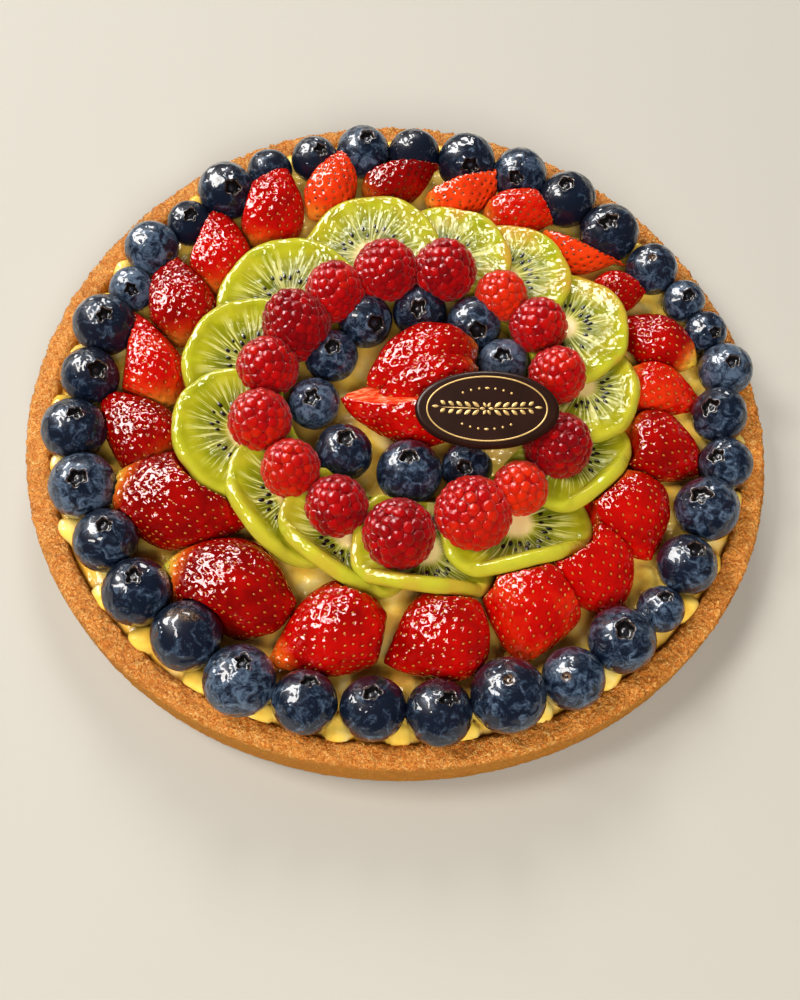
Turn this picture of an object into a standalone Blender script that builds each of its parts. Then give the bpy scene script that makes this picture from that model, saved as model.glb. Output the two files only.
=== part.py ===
"""A fruit tart: a shortcrust shell filled with custard, rings of whole and sliced fruit on top,
and an oval chocolate plaque laid over the middle.

The script works in millimetres. add_object turns each finished mesh into metres.
The tart stands on z = 0 with the middle of its crust at the origin. Angles run anticlockwise
from +X, seen from above, and a reach is a distance from the middle.
"""

import math
import random

import bmesh
import bpy
from mathutils import Matrix, Vector

MM = 0.001
GAP = 0.35  # left between two solids that touch

CRUST_RADIUS = 110.4
CRUST_HEIGHT = 17.4
CRUST_WALL = 7.3
CRUST_FLOOR = 4.0
CRUST_STEPS = 54
OUT_OF_ROUND = ((2, 1.04, 24), (3, 1.35, 75))  # waves per turn, swing, degrees of shift
RIM_CRAG = 0.3

CUSTARD_TOP = 15.4
CUSTARD_STEPS = 40
FRUIT_FLOOR = CUSTARD_TOP + GAP

# Blueberries in the outer ring, clockwise: reach and diameter. Each stands against the one
# before it, so only the first angle is given.
OUTER_START = 109.5
OUTER_BERRIES = (
    (95, 15.5), (94.5, 17.5), (93.5, 17), (92.5, 19), (94, 18), (93.5, 18.5), (92, 19),
    (94.5, 16.5), (98, 13.5), (99.5, 13.5), (101, 16.5), (96.5, 17), (98.5, 16), (95.5, 19),
    (96.5, 17.5), (97.5, 13.5), (96, 19), (97, 17.5), (94.5, 21), (95, 18.5), (93.5, 18),
    (95, 18), (96, 20), (93.5, 20), (94.5, 19.5), (94, 18.5), (95, 19.5), (95.5, 19),
    (92.5, 17.5), (93, 19), (92, 14), (94.5, 17.5), (93, 14.5), (94.5, 18.5), (95.5, 15),
)
OUTER_ARC = 7  # berries that hang together in one solid

# Blueberries round the middle: angle, reach and diameter.
INNER_BERRIES = {
    "blueberries-inner-back": (
        (144, 26, 16.4), (112, 30.5, 16.8), (81, 33, 16.8), (53, 36.5, 17.2), (27, 35, 16.0),
    ),
    "blueberries-inner-front": (
        (183, 25, 15.8), (229, 23, 17.2), (281, 23.5, 19.4), (317, 29, 15.2),
    ),
}
BERRY_FLATNESS = 0.94
BERRY_SIDES = 8
BERRY_RINGS = 6

# Kiwi slices, each lying over the one before it: angle and reach from RING_MIDDLE, half the
# length along the ring, half the depth across it, and the turn of that depth from straight
# outward. A slice that leans more is less deep.
RING_MIDDLE = Vector((3.5, 5.0, 0.0))
KIWI_SLICES = (
    (28, 53, 21.5, 19.5, 0), (56.5, 50.5, 21.5, 20, 0), (81, 47.5, 22.5, 20.5, 0),
    (108, 49.5, 22.5, 21.5, 0), (146, 47, 23, 22.5, 0), (176, 47, 22.5, 22.5, 0),
    (202, 52.5, 21, 20.5, 0), (229, 50.5, 21.5, 17, -8), (252.5, 51, 21, 15.5, -13),
    (277, 53.5, 21.5, 14, -8), (307, 54, 23, 15.5, -16), (338.5, 51.5, 21, 16.5, -19),
    (4.5, 52, 20, 18, -5),
)
KIWI_INNER_EDGE = 39.4  # the slices are cut short here, under the raspberries
KIWI_THICK = 4.0
KIWI_LONGEST = 23.0  # no slice reaches further than this from its middle
KIWI_SEED_RING = 2.5  # least distance from a cut edge to the ring of points inside it
KIWI_SIDES = 18
KIWI_TWIST = 10.8  # fall of a slice for each radian that it runs round the ring
KIWI_REACH_ROUND = math.radians(25)  # half the stretch of the ring that a slice lies over
KIWI_RISE_FROM = 40.0  # reach at which the slices begin to curl up
KIWI_CURL = 0.007
KIWI_CURL_FRONT = 0.0035
KIWI_CURL_NEAR = 0.003  # how much more the slices at the very front curl up
KIWI_NEAR_POWER = 3  # how quickly that fades towards the sides

# A lying fruit's half thickness is at most this share of its height over the custard.
MOST_THICK = 0.62
# The thick end of a fruit stays this share of its half length away from its tip.
THICK_END = 0.75

# Strawberries: angle and reach of the middle, turn of the tip from straight outward, length,
# width, height over the custard, rise of the tip in degrees, and how pointed it is.
STRAWBERRIES = (
    (122.5, 84, -42, 31, 25, 15.5, 17, 0.70),
    (107.5, 84.5, -42, 28, 18, 16, 12, 0.70),
    (92, 84.5, -60, 29, 18, 16, 8, 0.70),
    (77, 84, -50, 30, 18, 16, 8, 0.70),
    (62.5, 84.5, -52, 30, 17, 15, 8, 0.66),
    (47, 84.5, -57, 30, 18, 15, 6, 0.66),
    (34, 82.5, -10, 20, 14, 13, 4, 0.70),
    (20, 84, 128, 28, 18, 13, 0, 0.85),
    (8, 81.5, -25, 25, 18, 11, -4, 0.66),
    (-6.5, 80.5, -18, 29, 22, 13, -6, 0.70),
    (-24.5, 76, -40, 28, 26, 15, -8, 0.76),
    (-40, 75.5, -18, 31, 28, 15, -8, 0.74),
    (-57, 74, -42, 32, 28, 16, -10, 0.72),
    (-78.5, 73.5, -75, 32, 27, 16, -8, 0.76),
    (-102.5, 75, -50, 35, 27, 16, -10, 0.64),
    (-125, 75.5, 107, 43, 30, 18, 0, 0.95),
    (-149.5, 71, 135, 43, 29, 18, 0, 0.90),
    (-171, 78, -55, 31, 22, 14, 4, 0.70),
    (171.5, 78, -60, 34, 21, 14, 6, 0.68),
    (154.5, 78, -50, 32, 24, 14, 8, 0.70),
    (139, 81, -46, 31, 25, 14, 10, 0.70),
)
STRAWBERRY_SIDES = 12
STRAWBERRY_RINGS = 7
STRAWBERRY_FULLNESS = 0.8

# Raspberries: angle, reach, width, length, height of the top over the custard, and how many
# degrees the tip leans outward.
RASPBERRIES = (
    (98, 43.2, 19.5, 18.5, 25.5, 8), (74.5, 45.5, 19, 19, 26, 8), (51, 47.5, 15.5, 15, 22, 5),
    (33, 49.5, 17, 17.5, 23, 5), (11, 48, 16.5, 18.5, 25, 15), (-16, 49.5, 19.5, 22, 25, 20),
    (-38, 46, 15.5, 16, 23, 0), (-58, 43.5, 21.5, 20, 25, 0), (-87, 44.5, 20, 20, 25, 0),
    (-113, 40, 17.5, 17, 23, 0), (-138.5, 39.5, 16.5, 18, 24, 0), (-164, 41.5, 18, 19, 25, 5),
    (170, 40, 18, 18.5, 24, 5), (146, 39, 20, 24, 27, 20), (121.5, 40.5, 18, 20, 25, 8),
)
RASPBERRY_SIDES = 12
RASPBERRY_RINGS = 6
RASPBERRY_POINTED = 0.8
RASPBERRY_FULLNESS = 0.57
DRUPELET_RELIEF = 0.05
NEAR_BERRY = 4.0  # a raspberry this close to a blueberry is pressed flat against it

# The strawberry in the middle, cut into slices that fan apart: the place of each slice, its
# length, width and height over the custard, and the angle that its tip points to.
FAN_SLICES = (
    (Vector((6.5, 13.0, 0)), 37, 22, 23, 202),
    (Vector((3.5, 4.0, 0)), 41, 18, 23, 185),
    (Vector((3.0, -4.5, 0)), 40, 18.5, 18, 171),
)
FAN_SIDES = 12
FAN_RINGS = 6
FAN_POINTED = 0.86

PLAQUE_MIDDLE = Vector((25.4, -9.2, 39.7))
PLAQUE_LENGTH = 41.0
PLAQUE_WIDTH = 22.9
PLAQUE_THICK = 3.2
PLAQUE_BEVEL = 0.9
PLAQUE_SIDES = 36
PLAQUE_TIP = 14.0  # degrees that its front edge is lower
PLAQUE_ROLL = -5.0  # degrees, with its right end higher


def spot(angle, reach, height=0.0):
    """The point at this angle in degrees and this reach."""
    turn = math.radians(angle)
    return Vector((reach * math.cos(turn), reach * math.sin(turn), height))


def material(name, colour, roughness):
    made = bpy.data.materials.new(name)
    made.use_nodes = True
    shader = made.node_tree.nodes["Principled BSDF"]
    shader.inputs["Base Color"].default_value = (*colour, 1)
    shader.inputs["Roughness"].default_value = roughness
    shader.inputs["Metallic"].default_value = 0.0
    return made


def add_object(name, bm, look, placement, parent):
    """A named object from the mesh, which is drawn round its own middle and placed by a matrix."""
    bmesh.ops.remove_doubles(bm, verts=bm.verts, dist=0.0001)
    bmesh.ops.recalc_face_normals(bm, faces=bm.faces)
    bmesh.ops.scale(bm, vec=(MM, MM, MM), verts=bm.verts)
    mesh = bpy.data.meshes.new(name)
    bm.to_mesh(mesh)
    bm.free()
    mesh.materials.append(look)
    obj = bpy.data.objects.new(name, mesh)
    bpy.context.scene.collection.objects.link(obj)
    obj.parent = parent
    obj.location = placement.translation * MM
    obj.rotation_euler = placement.to_euler()
    return obj


def turned(profile, steps):
    """A mesh turned about Z from points of (radius, height)."""
    bm = bmesh.new()
    points = [bm.verts.new((radius, 0, height)) for radius, height in profile]
    edges = [bm.edges.new(pair) for pair in zip(points, points[1:])]
    bmesh.ops.spin(
        bm, geom=points + edges, cent=(0, 0, 0), axis=(0, 0, 1), dvec=(0, 0, 0),
        angle=math.tau, steps=steps, use_merge=True,
    )
    bmesh.ops.remove_doubles(bm, verts=bm.verts, dist=0.0001)
    return bm


def cut_off(bm, placement, point, normal):
    """Cuts away what lies past a plane, given in the tart's frame, and closes the cut."""
    inverse = placement.inverted()
    found = bmesh.ops.bisect_plane(
        bm, geom=bm.verts[:] + bm.edges[:] + bm.faces[:],
        plane_co=inverse @ point, plane_no=inverse.to_3x3() @ normal, clear_outer=True,
    )
    edges = [item for item in found["geom_cut"] if isinstance(item, bmesh.types.BMEdge)]
    if edges:
        bmesh.ops.contextual_create(bm, geom=edges)
        bmesh.ops.dissolve_degenerate(bm, dist=0.001, edges=bm.edges)


def stand_on_custard(bm, placement):
    cut_off(bm, placement, Vector((0, 0, FRUIT_FLOOR)), Vector((0, 0, -1)))


def subtract(obj, cutters):
    """Takes the cutters' solids out of the object."""
    for cutter in cutters:
        cut = obj.modifiers.new("cut", "BOOLEAN")
        cut.operation = "DIFFERENCE"
        cut.solver = "MANIFOLD"
        cut.object = cutter
    graph = bpy.context.evaluated_depsgraph_get()
    mesh = bpy.data.meshes.new_from_object(obj.evaluated_get(graph))
    obj.modifiers.clear()
    obj.data = mesh


# ---- crust and custard


def crust_swell(angle):
    """How far the crust's edge stands outside its round shape at this angle in radians."""
    return sum(
        swing * math.cos(waves * angle + math.radians(shift))
        for waves, swing, shift in OUT_OF_ROUND
    )


def follow_crust(bm):
    """Moves a turned mesh in and out as the crust does."""
    for vert in bm.verts:
        reach = vert.co.xy.length
        if reach > 1:
            swell = crust_swell(math.atan2(vert.co.y, vert.co.x))
            vert.co.xy *= 1 + swell / CRUST_RADIUS


def crust(parent):
    outer = CRUST_RADIUS
    inner = CRUST_RADIUS - CRUST_WALL
    profile = (
        (0, 0),
        (outer - 1.6, 0),
        (outer - 0.5, 0.8),
        (outer - 0.1, 3.0),
        (outer, CRUST_HEIGHT - 1.8),
        (outer - 0.7, CRUST_HEIGHT - 0.4),
        (outer - CRUST_WALL / 2, CRUST_HEIGHT),
        (inner + 1.0, CRUST_HEIGHT - 0.6),
        (inner, CRUST_HEIGHT - 2.2),
        (inner - 0.2, CRUST_FLOOR + 1.5),
        (inner - 2.0, CRUST_FLOOR),
        (0, CRUST_FLOOR),
    )
    bm = turned(profile, CRUST_STEPS)
    follow_crust(bm)
    crags = random.Random(4)
    for vert in bm.verts:
        if vert.co.z > CRUST_HEIGHT - 1.5:
            vert.co.z += crags.uniform(-RIM_CRAG, RIM_CRAG)
    look = material("baked shortcrust", (0.48, 0.22, 0.075), 0.75)
    add_object("crust", bm, look, Matrix(), parent)


def custard(parent):
    edge = CRUST_RADIUS - CRUST_WALL - GAP
    profile = (
        (0, CRUST_FLOOR + GAP),
        (edge - 2.4, CRUST_FLOOR + GAP),
        (edge - 0.5, CRUST_FLOOR + 2.2),
        (edge - 0.3, CUSTARD_TOP - 0.9),
        (edge - 1.2, CUSTARD_TOP),
        (0, CUSTARD_TOP),
    )
    bm = turned(profile, CUSTARD_STEPS)
    follow_crust(bm)
    look = material("custard", (0.80, 0.56, 0.16), 0.35)
    add_object("custard", bm, look, Matrix(), parent)


# ---- blueberries


def outer_berries():
    """Middle and diameter of each berry in the outer ring, squeezed so that the ring closes."""

    def steps(squeeze):
        ring = OUTER_BERRIES + OUTER_BERRIES[:1]
        for number, ((near, first), (far, second)) in enumerate(zip(ring, ring[1:]), 1):
            apart = (first + second) / 2 - (squeeze if number % OUTER_ARC else -GAP)
            yield math.acos((near * near + far * far - apart * apart) / (2 * near * far))

    low, high = -2.0, 4.0
    for _ in range(30):
        squeeze = (low + high) / 2
        if sum(steps(squeeze)) > math.tau:
            low = squeeze
        else:
            high = squeeze
    angle = OUTER_START
    berries = []
    for (reach, diameter), step in zip(OUTER_BERRIES, steps(squeeze)):
        height = FRUIT_FLOOR + diameter * BERRY_FLATNESS / 2
        berries.append((spot(angle, reach, height), diameter))
        angle -= math.degrees(step)
    return berries


def inner_berries(name):
    return [
        (spot(angle, reach, FRUIT_FLOOR + diameter * BERRY_FLATNESS / 2), diameter)
        for angle, reach, diameter in INNER_BERRIES[name]
    ]


def all_inner_berries():
    return [berry for name in INNER_BERRIES for berry in inner_berries(name)]


def string_of_berries(name, berries, look, parent):
    """One solid of berries that touch: round ones, open where they meet, with the rims bridged."""
    bm = bmesh.new()
    middle = sum((place for place, _ in berries), Vector()) / len(berries)
    rims = []
    for index, (place, diameter) in enumerate(berries):
        before = berries[max(index - 1, 0)][0]
        after = berries[min(index + 1, len(berries) - 1)][0]
        along = (after - before).normalized()
        made = bmesh.ops.create_uvsphere(
            bm, u_segments=BERRY_SIDES, v_segments=BERRY_RINGS, radius=diameter / 2
        )["verts"]
        turn = along.to_track_quat("Z", "Y").to_matrix().to_4x4()
        flatten = Matrix.Diagonal((1, 1, BERRY_FLATNESS, 1))
        bmesh.ops.transform(bm, matrix=turn, verts=made)
        bmesh.ops.transform(bm, matrix=Matrix.Translation(place - middle) @ flatten, verts=made)
        made.sort(key=lambda vert: (vert.co - (place - middle)).dot(along))
        open_ends = made[:1] * (index > 0) + made[-1:] * (index < len(berries) - 1)
        for pole in open_ends:
            around = [edge for face in pole.link_faces for edge in face.edges]
            rims.append([edge for edge in around if pole not in edge.verts])
        bmesh.ops.delete(bm, geom=open_ends, context="VERTS")
    for first, second in zip(rims[::2], rims[1::2]):
        bmesh.ops.bridge_loops(bm, edges=first + second)
    add_object(name, bm, look, Matrix.Translation(middle), parent)


def blueberries(parent):
    look = material("blueberry skin", (0.018, 0.024, 0.060), 0.38)
    ring = outer_berries()
    for number, start in enumerate(range(0, len(ring), OUTER_ARC), 1):
        name = f"blueberries-outer-{number}"
        string_of_berries(name, ring[start:start + OUTER_ARC], look, parent)
    for name in INNER_BERRIES:
        string_of_berries(name, inner_berries(name), look, parent)


# ---- kiwi


def kiwi_sheet(index, point):
    """Height of the underside of this slice's sheet at a point. Sheets wind round the ring, each
    over the one before it, so slices that overlap keep the same distance between them."""
    from_middle = point - RING_MIDDLE
    angle = math.atan2(from_middle.y, from_middle.x)
    own = math.radians(KIWI_SLICES[index][0])
    ahead = (angle - own + math.pi) % math.tau - math.pi
    curl = KIWI_CURL - KIWI_CURL_FRONT * math.sin(angle)
    curl += KIWI_CURL_NEAR * max(0.0, -math.sin(angle)) ** KIWI_NEAR_POWER
    rise = curl * max(0.0, from_middle.xy.length - KIWI_RISE_FROM) ** 2
    return FRUIT_FLOOR + rise + KIWI_TWIST * max(0.0, KIWI_REACH_ROUND - ahead)


def kiwi_middle(index):
    angle, reach, *_ = KIWI_SLICES[index]
    return RING_MIDDLE + spot(angle, reach)


def kiwi_mesh(index, outset, below, above):
    """A slice's outline between its sheet lowered by below and raised by above."""
    middle = kiwi_middle(index)
    angle, _, length, depth, swing = KIWI_SLICES[index]
    bm = bmesh.new()
    bmesh.ops.create_cone(bm, cap_ends=True, segments=KIWI_SIDES, radius1=1, radius2=1, depth=2)
    caps = [face for face in bm.faces if len(face.verts) == KIWI_SIDES]
    bmesh.ops.inset_region(bm, faces=caps, thickness=0.5)
    bmesh.ops.poke(bm, faces=[face for face in bm.faces if len(face.verts) == KIWI_SIDES])
    rim = [vert for vert in bm.verts if vert.co.xy.length > 0.9]
    spread = Matrix.Diagonal((depth + outset, length + outset, 1, 1))
    turn = Matrix.Rotation(math.radians(angle + swing), 4, "Z")
    bmesh.ops.transform(bm, matrix=turn @ spread, verts=bm.verts)
    for vert in bm.verts:
        on_top = vert.co.z > 0
        point = middle + Vector((vert.co.x, vert.co.y, 0))
        least = KIWI_INNER_EDGE - outset + (0 if vert in rim else KIWI_SEED_RING)
        from_middle = point - RING_MIDDLE
        if from_middle.length < least:
            point = RING_MIDDLE + from_middle.normalized() * least
        level = kiwi_sheet(index, point) + (above if on_top else -below)
        vert.co = Vector((point.x - middle.x, point.y - middle.y, level - FRUIT_FLOOR))
    return bm


def kiwi_slices(parent):
    look = material("kiwi flesh", (0.40, 0.52, 0.045), 0.25)
    for index in range(len(KIWI_SLICES)):
        bm = kiwi_mesh(index, 0.0, 0.0, KIWI_THICK)
        placement = Matrix.Translation(kiwi_middle(index) + Vector((0, 0, FRUIT_FLOOR)))
        add_object(f"kiwi-{index + 1:02}", bm, look, placement, parent)


def kiwi_cutters(name, below, above):
    """Slices swollen by the gap and drawn out up or down, to cut the fruit under or over them."""
    look = material(name, (1, 1, 1), 1)
    cutters = []
    for index in range(len(KIWI_SLICES)):
        bm = kiwi_mesh(index, GAP, below, above)
        placement = Matrix.Translation(kiwi_middle(index) + Vector((0, 0, FRUIT_FLOOR)))
        cutter = add_object(f"{name}-{index}", bm, look, placement, None)
        cutter.hide_render = True
        cutters.append(cutter)
    return cutters


def nearby(cutters, middle, size):
    """The cutters of the slices that a fruit with this middle and size can meet."""
    return [
        cutter for number, cutter in enumerate(cutters)
        if (kiwi_middle(number) - middle).xy.length < KIWI_LONGEST + size
    ]


# ---- strawberries


def plump(steps, point, fullness):
    """Profile of unit length and unit half width: a blunt end at 0 and the tip at 1."""
    profile = []
    for step in range(steps + 1):
        along = (1 - math.cos(math.pi * step / steps)) / 2
        swell = math.sin(math.pi * along ** point)
        profile.append((max(swell, 0.0) ** fullness if 0 < step < steps else 0.0, along))
    return profile


class Berry:
    """Where a long fruit lies: its middle, the way its tip points, and its half sizes."""

    def __init__(self, angle, reach, turn, length, width, height, rise):
        self.half = Vector((width / 2, min(width / 2, height * MOST_THICK), length / 2))
        self.middle = spot(angle, reach, FRUIT_FLOOR + height - self.half.y)
        self.heading = math.radians(angle + turn)
        lie = Matrix.Rotation(self.heading, 4, "Z") @ Matrix.Rotation(-math.radians(rise), 4, "Y")
        upright = Matrix(((0, 0, 1, 0), (1, 0, 0, 0), (0, 1, 0, 0), (0, 0, 0, 1)))
        self.placement = Matrix.Translation(self.middle) @ lie @ upright

    def width_towards(self, way):
        """Half the fruit's size, seen from above, in this direction."""
        along = Vector((math.cos(self.heading), math.sin(self.heading), 0))
        across = Vector((-along.y, along.x, 0))
        return 1 / math.sqrt(
            (way.dot(along) / self.half.z) ** 2 + (way.dot(across) / self.half.x) ** 2
        )

    def slope(self, way):
        """The way that the fruit's side faces where it is met from this direction."""
        along = Vector((math.cos(self.heading), math.sin(self.heading), 0))
        across = Vector((-along.y, along.x, 0))
        return (
            along * way.dot(along) / self.half.z ** 2 + across * way.dot(across) / self.half.x ** 2
        )


def press_together(bm, berry, other):
    """Flattens the fruit where it meets the next one, so that a gap is left between the two."""
    way = other.middle - berry.middle
    way.z = 0
    apart = way.length
    way.normalize()
    own, others = berry.width_towards(way), other.width_towards(way)
    normal = (berry.slope(way) + other.slope(way)).normalized()
    meet = berry.middle + way * apart * own / (own + others)
    cut_off(bm, berry.placement, meet - normal * GAP / 2, normal)


def press_on_ball(bm, berry, centre, radius):
    """Flattens the fruit where it leans on a round berry."""
    tip = berry.placement.to_3x3() @ Vector((0, 0, 1))
    along = max(-1.0, min(1.0, (centre - berry.middle).dot(tip) / berry.half.z))
    nearest = berry.middle + tip * along * berry.half.z * THICK_END
    way = centre - nearest
    if way.length < radius + max(berry.half.x, berry.half.y):
        way.normalize()
        cut_off(bm, berry.placement, centre - way * (radius + GAP), way)


def strawberries(parent, cutters):
    look = material("strawberry skin", (0.55, 0.022, 0.010), 0.28)
    ring = [Berry(*row[:-1]) for row in STRAWBERRIES]
    for index, berry in enumerate(ring):
        pointed = STRAWBERRIES[index][-1]
        profile = [
            (radius, 2 * along - 1)
            for radius, along in plump(STRAWBERRY_RINGS, pointed, STRAWBERRY_FULLNESS)
        ]
        bm = turned(profile, STRAWBERRY_SIDES)
        bmesh.ops.scale(bm, vec=berry.half, verts=bm.verts)
        stand_on_custard(bm, berry.placement)
        for other in (ring[index - 1], ring[(index + 1) % len(ring)]):
            press_together(bm, berry, other)
        for centre, diameter in outer_berries():
            press_on_ball(bm, berry, centre, diameter / 2)
        obj = add_object(f"strawberry-{index + 1:02}", bm, look, berry.placement, parent)
        subtract(obj, nearby(cutters, berry.middle, berry.half.z))


# ---- raspberries


def raspberries(parent, cutters):
    look = material("raspberry", (0.42, 0.016, 0.022), 0.40)
    ring = [spot(angle, reach) for angle, reach, *_ in RASPBERRIES]
    for index, (angle, reach, width, tall, height, lean) in enumerate(RASPBERRIES):
        middle = spot(angle, reach, CUSTARD_TOP + height - tall / 2)
        outward = Vector((-math.sin(math.radians(angle)), math.cos(math.radians(angle)), 0))
        placement = Matrix.Translation(middle) @ Matrix.Rotation(math.radians(lean), 4, outward)
        profile = [
            (radius * width / 2, tall * (along - 0.5))
            for radius, along in plump(RASPBERRY_RINGS, RASPBERRY_POINTED, RASPBERRY_FULLNESS)
        ]
        bm = turned(profile, RASPBERRY_SIDES)
        for vert in bm.verts:
            side = round(math.atan2(vert.co.y, vert.co.x) / math.tau * RASPBERRY_SIDES)
            row = round(vert.co.z)
            bump = DRUPELET_RELIEF if (side + row) % 2 else -DRUPELET_RELIEF
            vert.co.xy *= 1 + bump
        for step in (-1, 1):
            other = (index + step) % len(ring)
            way = ring[other] - ring[index]
            share = width / (width + RASPBERRIES[other][2])
            meet = ring[index] + way * share - way.normalized() * GAP / 2
            cut_off(bm, placement, meet, way.normalized())
        for centre, diameter in all_inner_berries():
            way = centre - middle
            if way.length < (diameter + width) / 2 + NEAR_BERRY:
                way.normalize()
                cut_off(bm, placement, centre - way * (diameter / 2 + GAP), way)
        obj = add_object(f"raspberry-{index + 1:02}", bm, look, placement, parent)
        subtract(obj, nearby(cutters, middle, width / 2))


# ---- middle


def middle_strawberry(parent):
    look = material("cut strawberry", (0.60, 0.045, 0.015), 0.25)
    pieces = bpy.data.collections.new("fan pieces")
    bpy.context.scene.collection.children.link(pieces)
    joined = None
    for place, length, width, height, heading in FAN_SLICES:
        berry = Berry(0, 0, heading, length, width, height, 0)
        placement = Matrix.Translation(place) @ berry.placement
        profile = [
            (radius, 2 * along - 1)
            for radius, along in plump(FAN_RINGS, FAN_POINTED, STRAWBERRY_FULLNESS)
        ]
        bm = turned(profile, FAN_SIDES)
        bmesh.ops.scale(bm, vec=berry.half, verts=bm.verts)
        stand_on_custard(bm, placement)
        for centre, diameter in all_inner_berries():
            way = (centre - placement.translation).normalized()
            cut_off(bm, placement, centre - way * (diameter / 2 + GAP), way)
        if joined is None:
            joined = add_object("strawberry-middle", bm, look, placement, parent)
        else:
            obj = add_object("fan piece", bm, look, placement, parent)
            pieces.objects.link(obj)
            bpy.context.scene.collection.objects.unlink(obj)
    bpy.context.view_layer.update()
    union = joined.modifiers.new("join", "BOOLEAN")
    union.operation = "UNION"
    union.operand_type = "COLLECTION"
    union.collection = pieces
    union.solver = "MANIFOLD"
    graph = bpy.context.evaluated_depsgraph_get()
    mesh = bpy.data.meshes.new_from_object(joined.evaluated_get(graph))
    joined.modifiers.clear()
    joined.data = mesh
    for obj in list(pieces.objects):
        bpy.data.objects.remove(obj)
    bpy.data.collections.remove(pieces)


def plaque(parent):
    bm = bmesh.new()
    bmesh.ops.create_cone(
        bm, cap_ends=True, segments=PLAQUE_SIDES, radius1=0.5, radius2=0.5, depth=1
    )
    bmesh.ops.scale(bm, vec=(PLAQUE_LENGTH, PLAQUE_WIDTH, PLAQUE_THICK), verts=bm.verts)
    rims = [edge for edge in bm.edges if abs(edge.verts[0].co.z - edge.verts[1].co.z) < 0.01]
    bmesh.ops.bevel(bm, geom=rims, offset=PLAQUE_BEVEL, segments=1, affect="EDGES")
    lie = Matrix.Rotation(math.radians(PLAQUE_ROLL), 4, "Y")
    tip = Matrix.Rotation(math.radians(PLAQUE_TIP), 4, "X")
    look = material("dark chocolate", (0.030, 0.014, 0.010), 0.35)
    add_object("plaque", bm, look, Matrix.Translation(PLAQUE_MIDDLE) @ lie @ tip, parent)


def main():
    for obj in list(bpy.data.objects):
        bpy.data.objects.remove(obj)
    tart = bpy.data.objects.new("tart", None)
    bpy.context.scene.collection.objects.link(tart)
    over = kiwi_cutters("over-kiwi", GAP, 30.0)
    under = kiwi_cutters("under-kiwi", 30.0, KIWI_THICK + GAP)
    bpy.context.view_layer.update()
    crust(tart)
    custard(tart)
    blueberries(tart)
    kiwi_slices(tart)
    strawberries(tart, over)
    raspberries(tart, under)
    middle_strawberry(tart)
    plaque(tart)
    for cutter in over + under:
        bpy.data.objects.remove(cutter)


main()
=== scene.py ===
# A glazed fruit tart: shortcrust, custard, blueberries, strawberries, kiwi and raspberries, with a plaque.
# Lengths are in millimetres and angles in degrees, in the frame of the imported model.
import bisect
import functools
import math
import random

import bmesh
import bpy
from mathutils import Matrix, Vector, kdtree, noise


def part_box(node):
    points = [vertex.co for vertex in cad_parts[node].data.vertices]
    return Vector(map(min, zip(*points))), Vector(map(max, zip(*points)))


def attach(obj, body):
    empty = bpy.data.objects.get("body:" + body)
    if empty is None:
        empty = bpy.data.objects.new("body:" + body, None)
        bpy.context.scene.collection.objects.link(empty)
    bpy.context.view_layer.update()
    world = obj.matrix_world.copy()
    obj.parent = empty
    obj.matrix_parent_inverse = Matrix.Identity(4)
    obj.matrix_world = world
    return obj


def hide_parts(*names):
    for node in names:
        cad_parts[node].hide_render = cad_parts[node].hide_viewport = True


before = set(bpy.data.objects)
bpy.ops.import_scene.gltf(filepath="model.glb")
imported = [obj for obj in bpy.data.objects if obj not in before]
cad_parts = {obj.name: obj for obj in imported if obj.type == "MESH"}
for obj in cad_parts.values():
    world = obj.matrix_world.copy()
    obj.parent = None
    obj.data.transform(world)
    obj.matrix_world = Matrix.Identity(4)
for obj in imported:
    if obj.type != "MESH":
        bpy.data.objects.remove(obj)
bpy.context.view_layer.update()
scene = bpy.context.scene
mm = 0.001
up = Vector((0, 0, 1))
goldenAngle = math.radians(137.508)  # the turn from one seed to the next on a spiral
evenArea = 0.87  # area round each of many evenly spread points, over the square of their distance
touch = 0.1  # left between fruits that lean on each other
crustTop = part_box("crust")[1].z / mm
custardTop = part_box("custard")[1].z / mm
fruitFloor = custardTop + 0.35  # where the fruit rests
fruitFoot = custardTop - 0.6  # how deep soft fruit is pressed into the custard


def spot(angle, reach, height=0.0):
    turn = math.radians(angle)
    return Vector((reach * math.cos(turn), reach * math.sin(turn), height))


def clamp(value):
    return min(max(value, 0.0), 1.0)


def hexColour(code):
    parts = [int(code[i:i + 2], 16) / 255 for i in (0, 2, 4)]
    return (*[p / 12.92 if p <= 0.04045 else ((p + 0.055) / 1.055) ** 2.4 for p in parts], 1.0)


def feed(node, values):
    # Fills a node's inputs: a socket is linked, a hex colour is turned to linear, anything else is set.
    for key, value in values.items():
        if isinstance(value, bpy.types.NodeSocket):
            node.id_data.links.new(value, node.inputs[key])
        else:
            node.inputs[key].default_value = hexColour(value) if isinstance(value, str) else value


def addNode(material, kind, values, output=0, stops=(), **settings):
    # Adds one node with its settings and links, and gives back one of its outputs.
    node = material.node_tree.nodes.new("ShaderNode" + kind)
    for name, value in settings.items():
        setattr(node, name, value)
    if stops:
        elements = node.color_ramp.elements
        while len(elements) < len(stops):
            elements.new(0.5)
        for element, (place, colour) in zip(elements, stops):
            element.position = place
            element.color = hexColour(colour) if isinstance(colour, str) else (colour, colour, colour, 1)
    feed(node, values)
    return node.outputs[output]


def startMaterial(name, sockets):
    # A new material, its shader, the place in millimetres, and addNode for this material.
    material = bpy.data.materials.new(name)
    material.use_nodes = True
    shader = material.node_tree.nodes["Principled BSDF"]
    feed(shader, sockets)
    add = functools.partial(addNode, material)
    place = add("VectorMath", {0: add("TexCoord", {}, "Object"), 3: 1 / mm}, operation="SCALE")
    return material, shader, place, add


def meshOf(name, bm):
    mesh = bpy.data.meshes.new(name)
    bm.to_mesh(mesh)
    bm.free()
    return mesh


def newObject(name, thing):
    made = bpy.data.objects.new(name, thing)
    scene.collection.objects.link(made)
    return made


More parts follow.
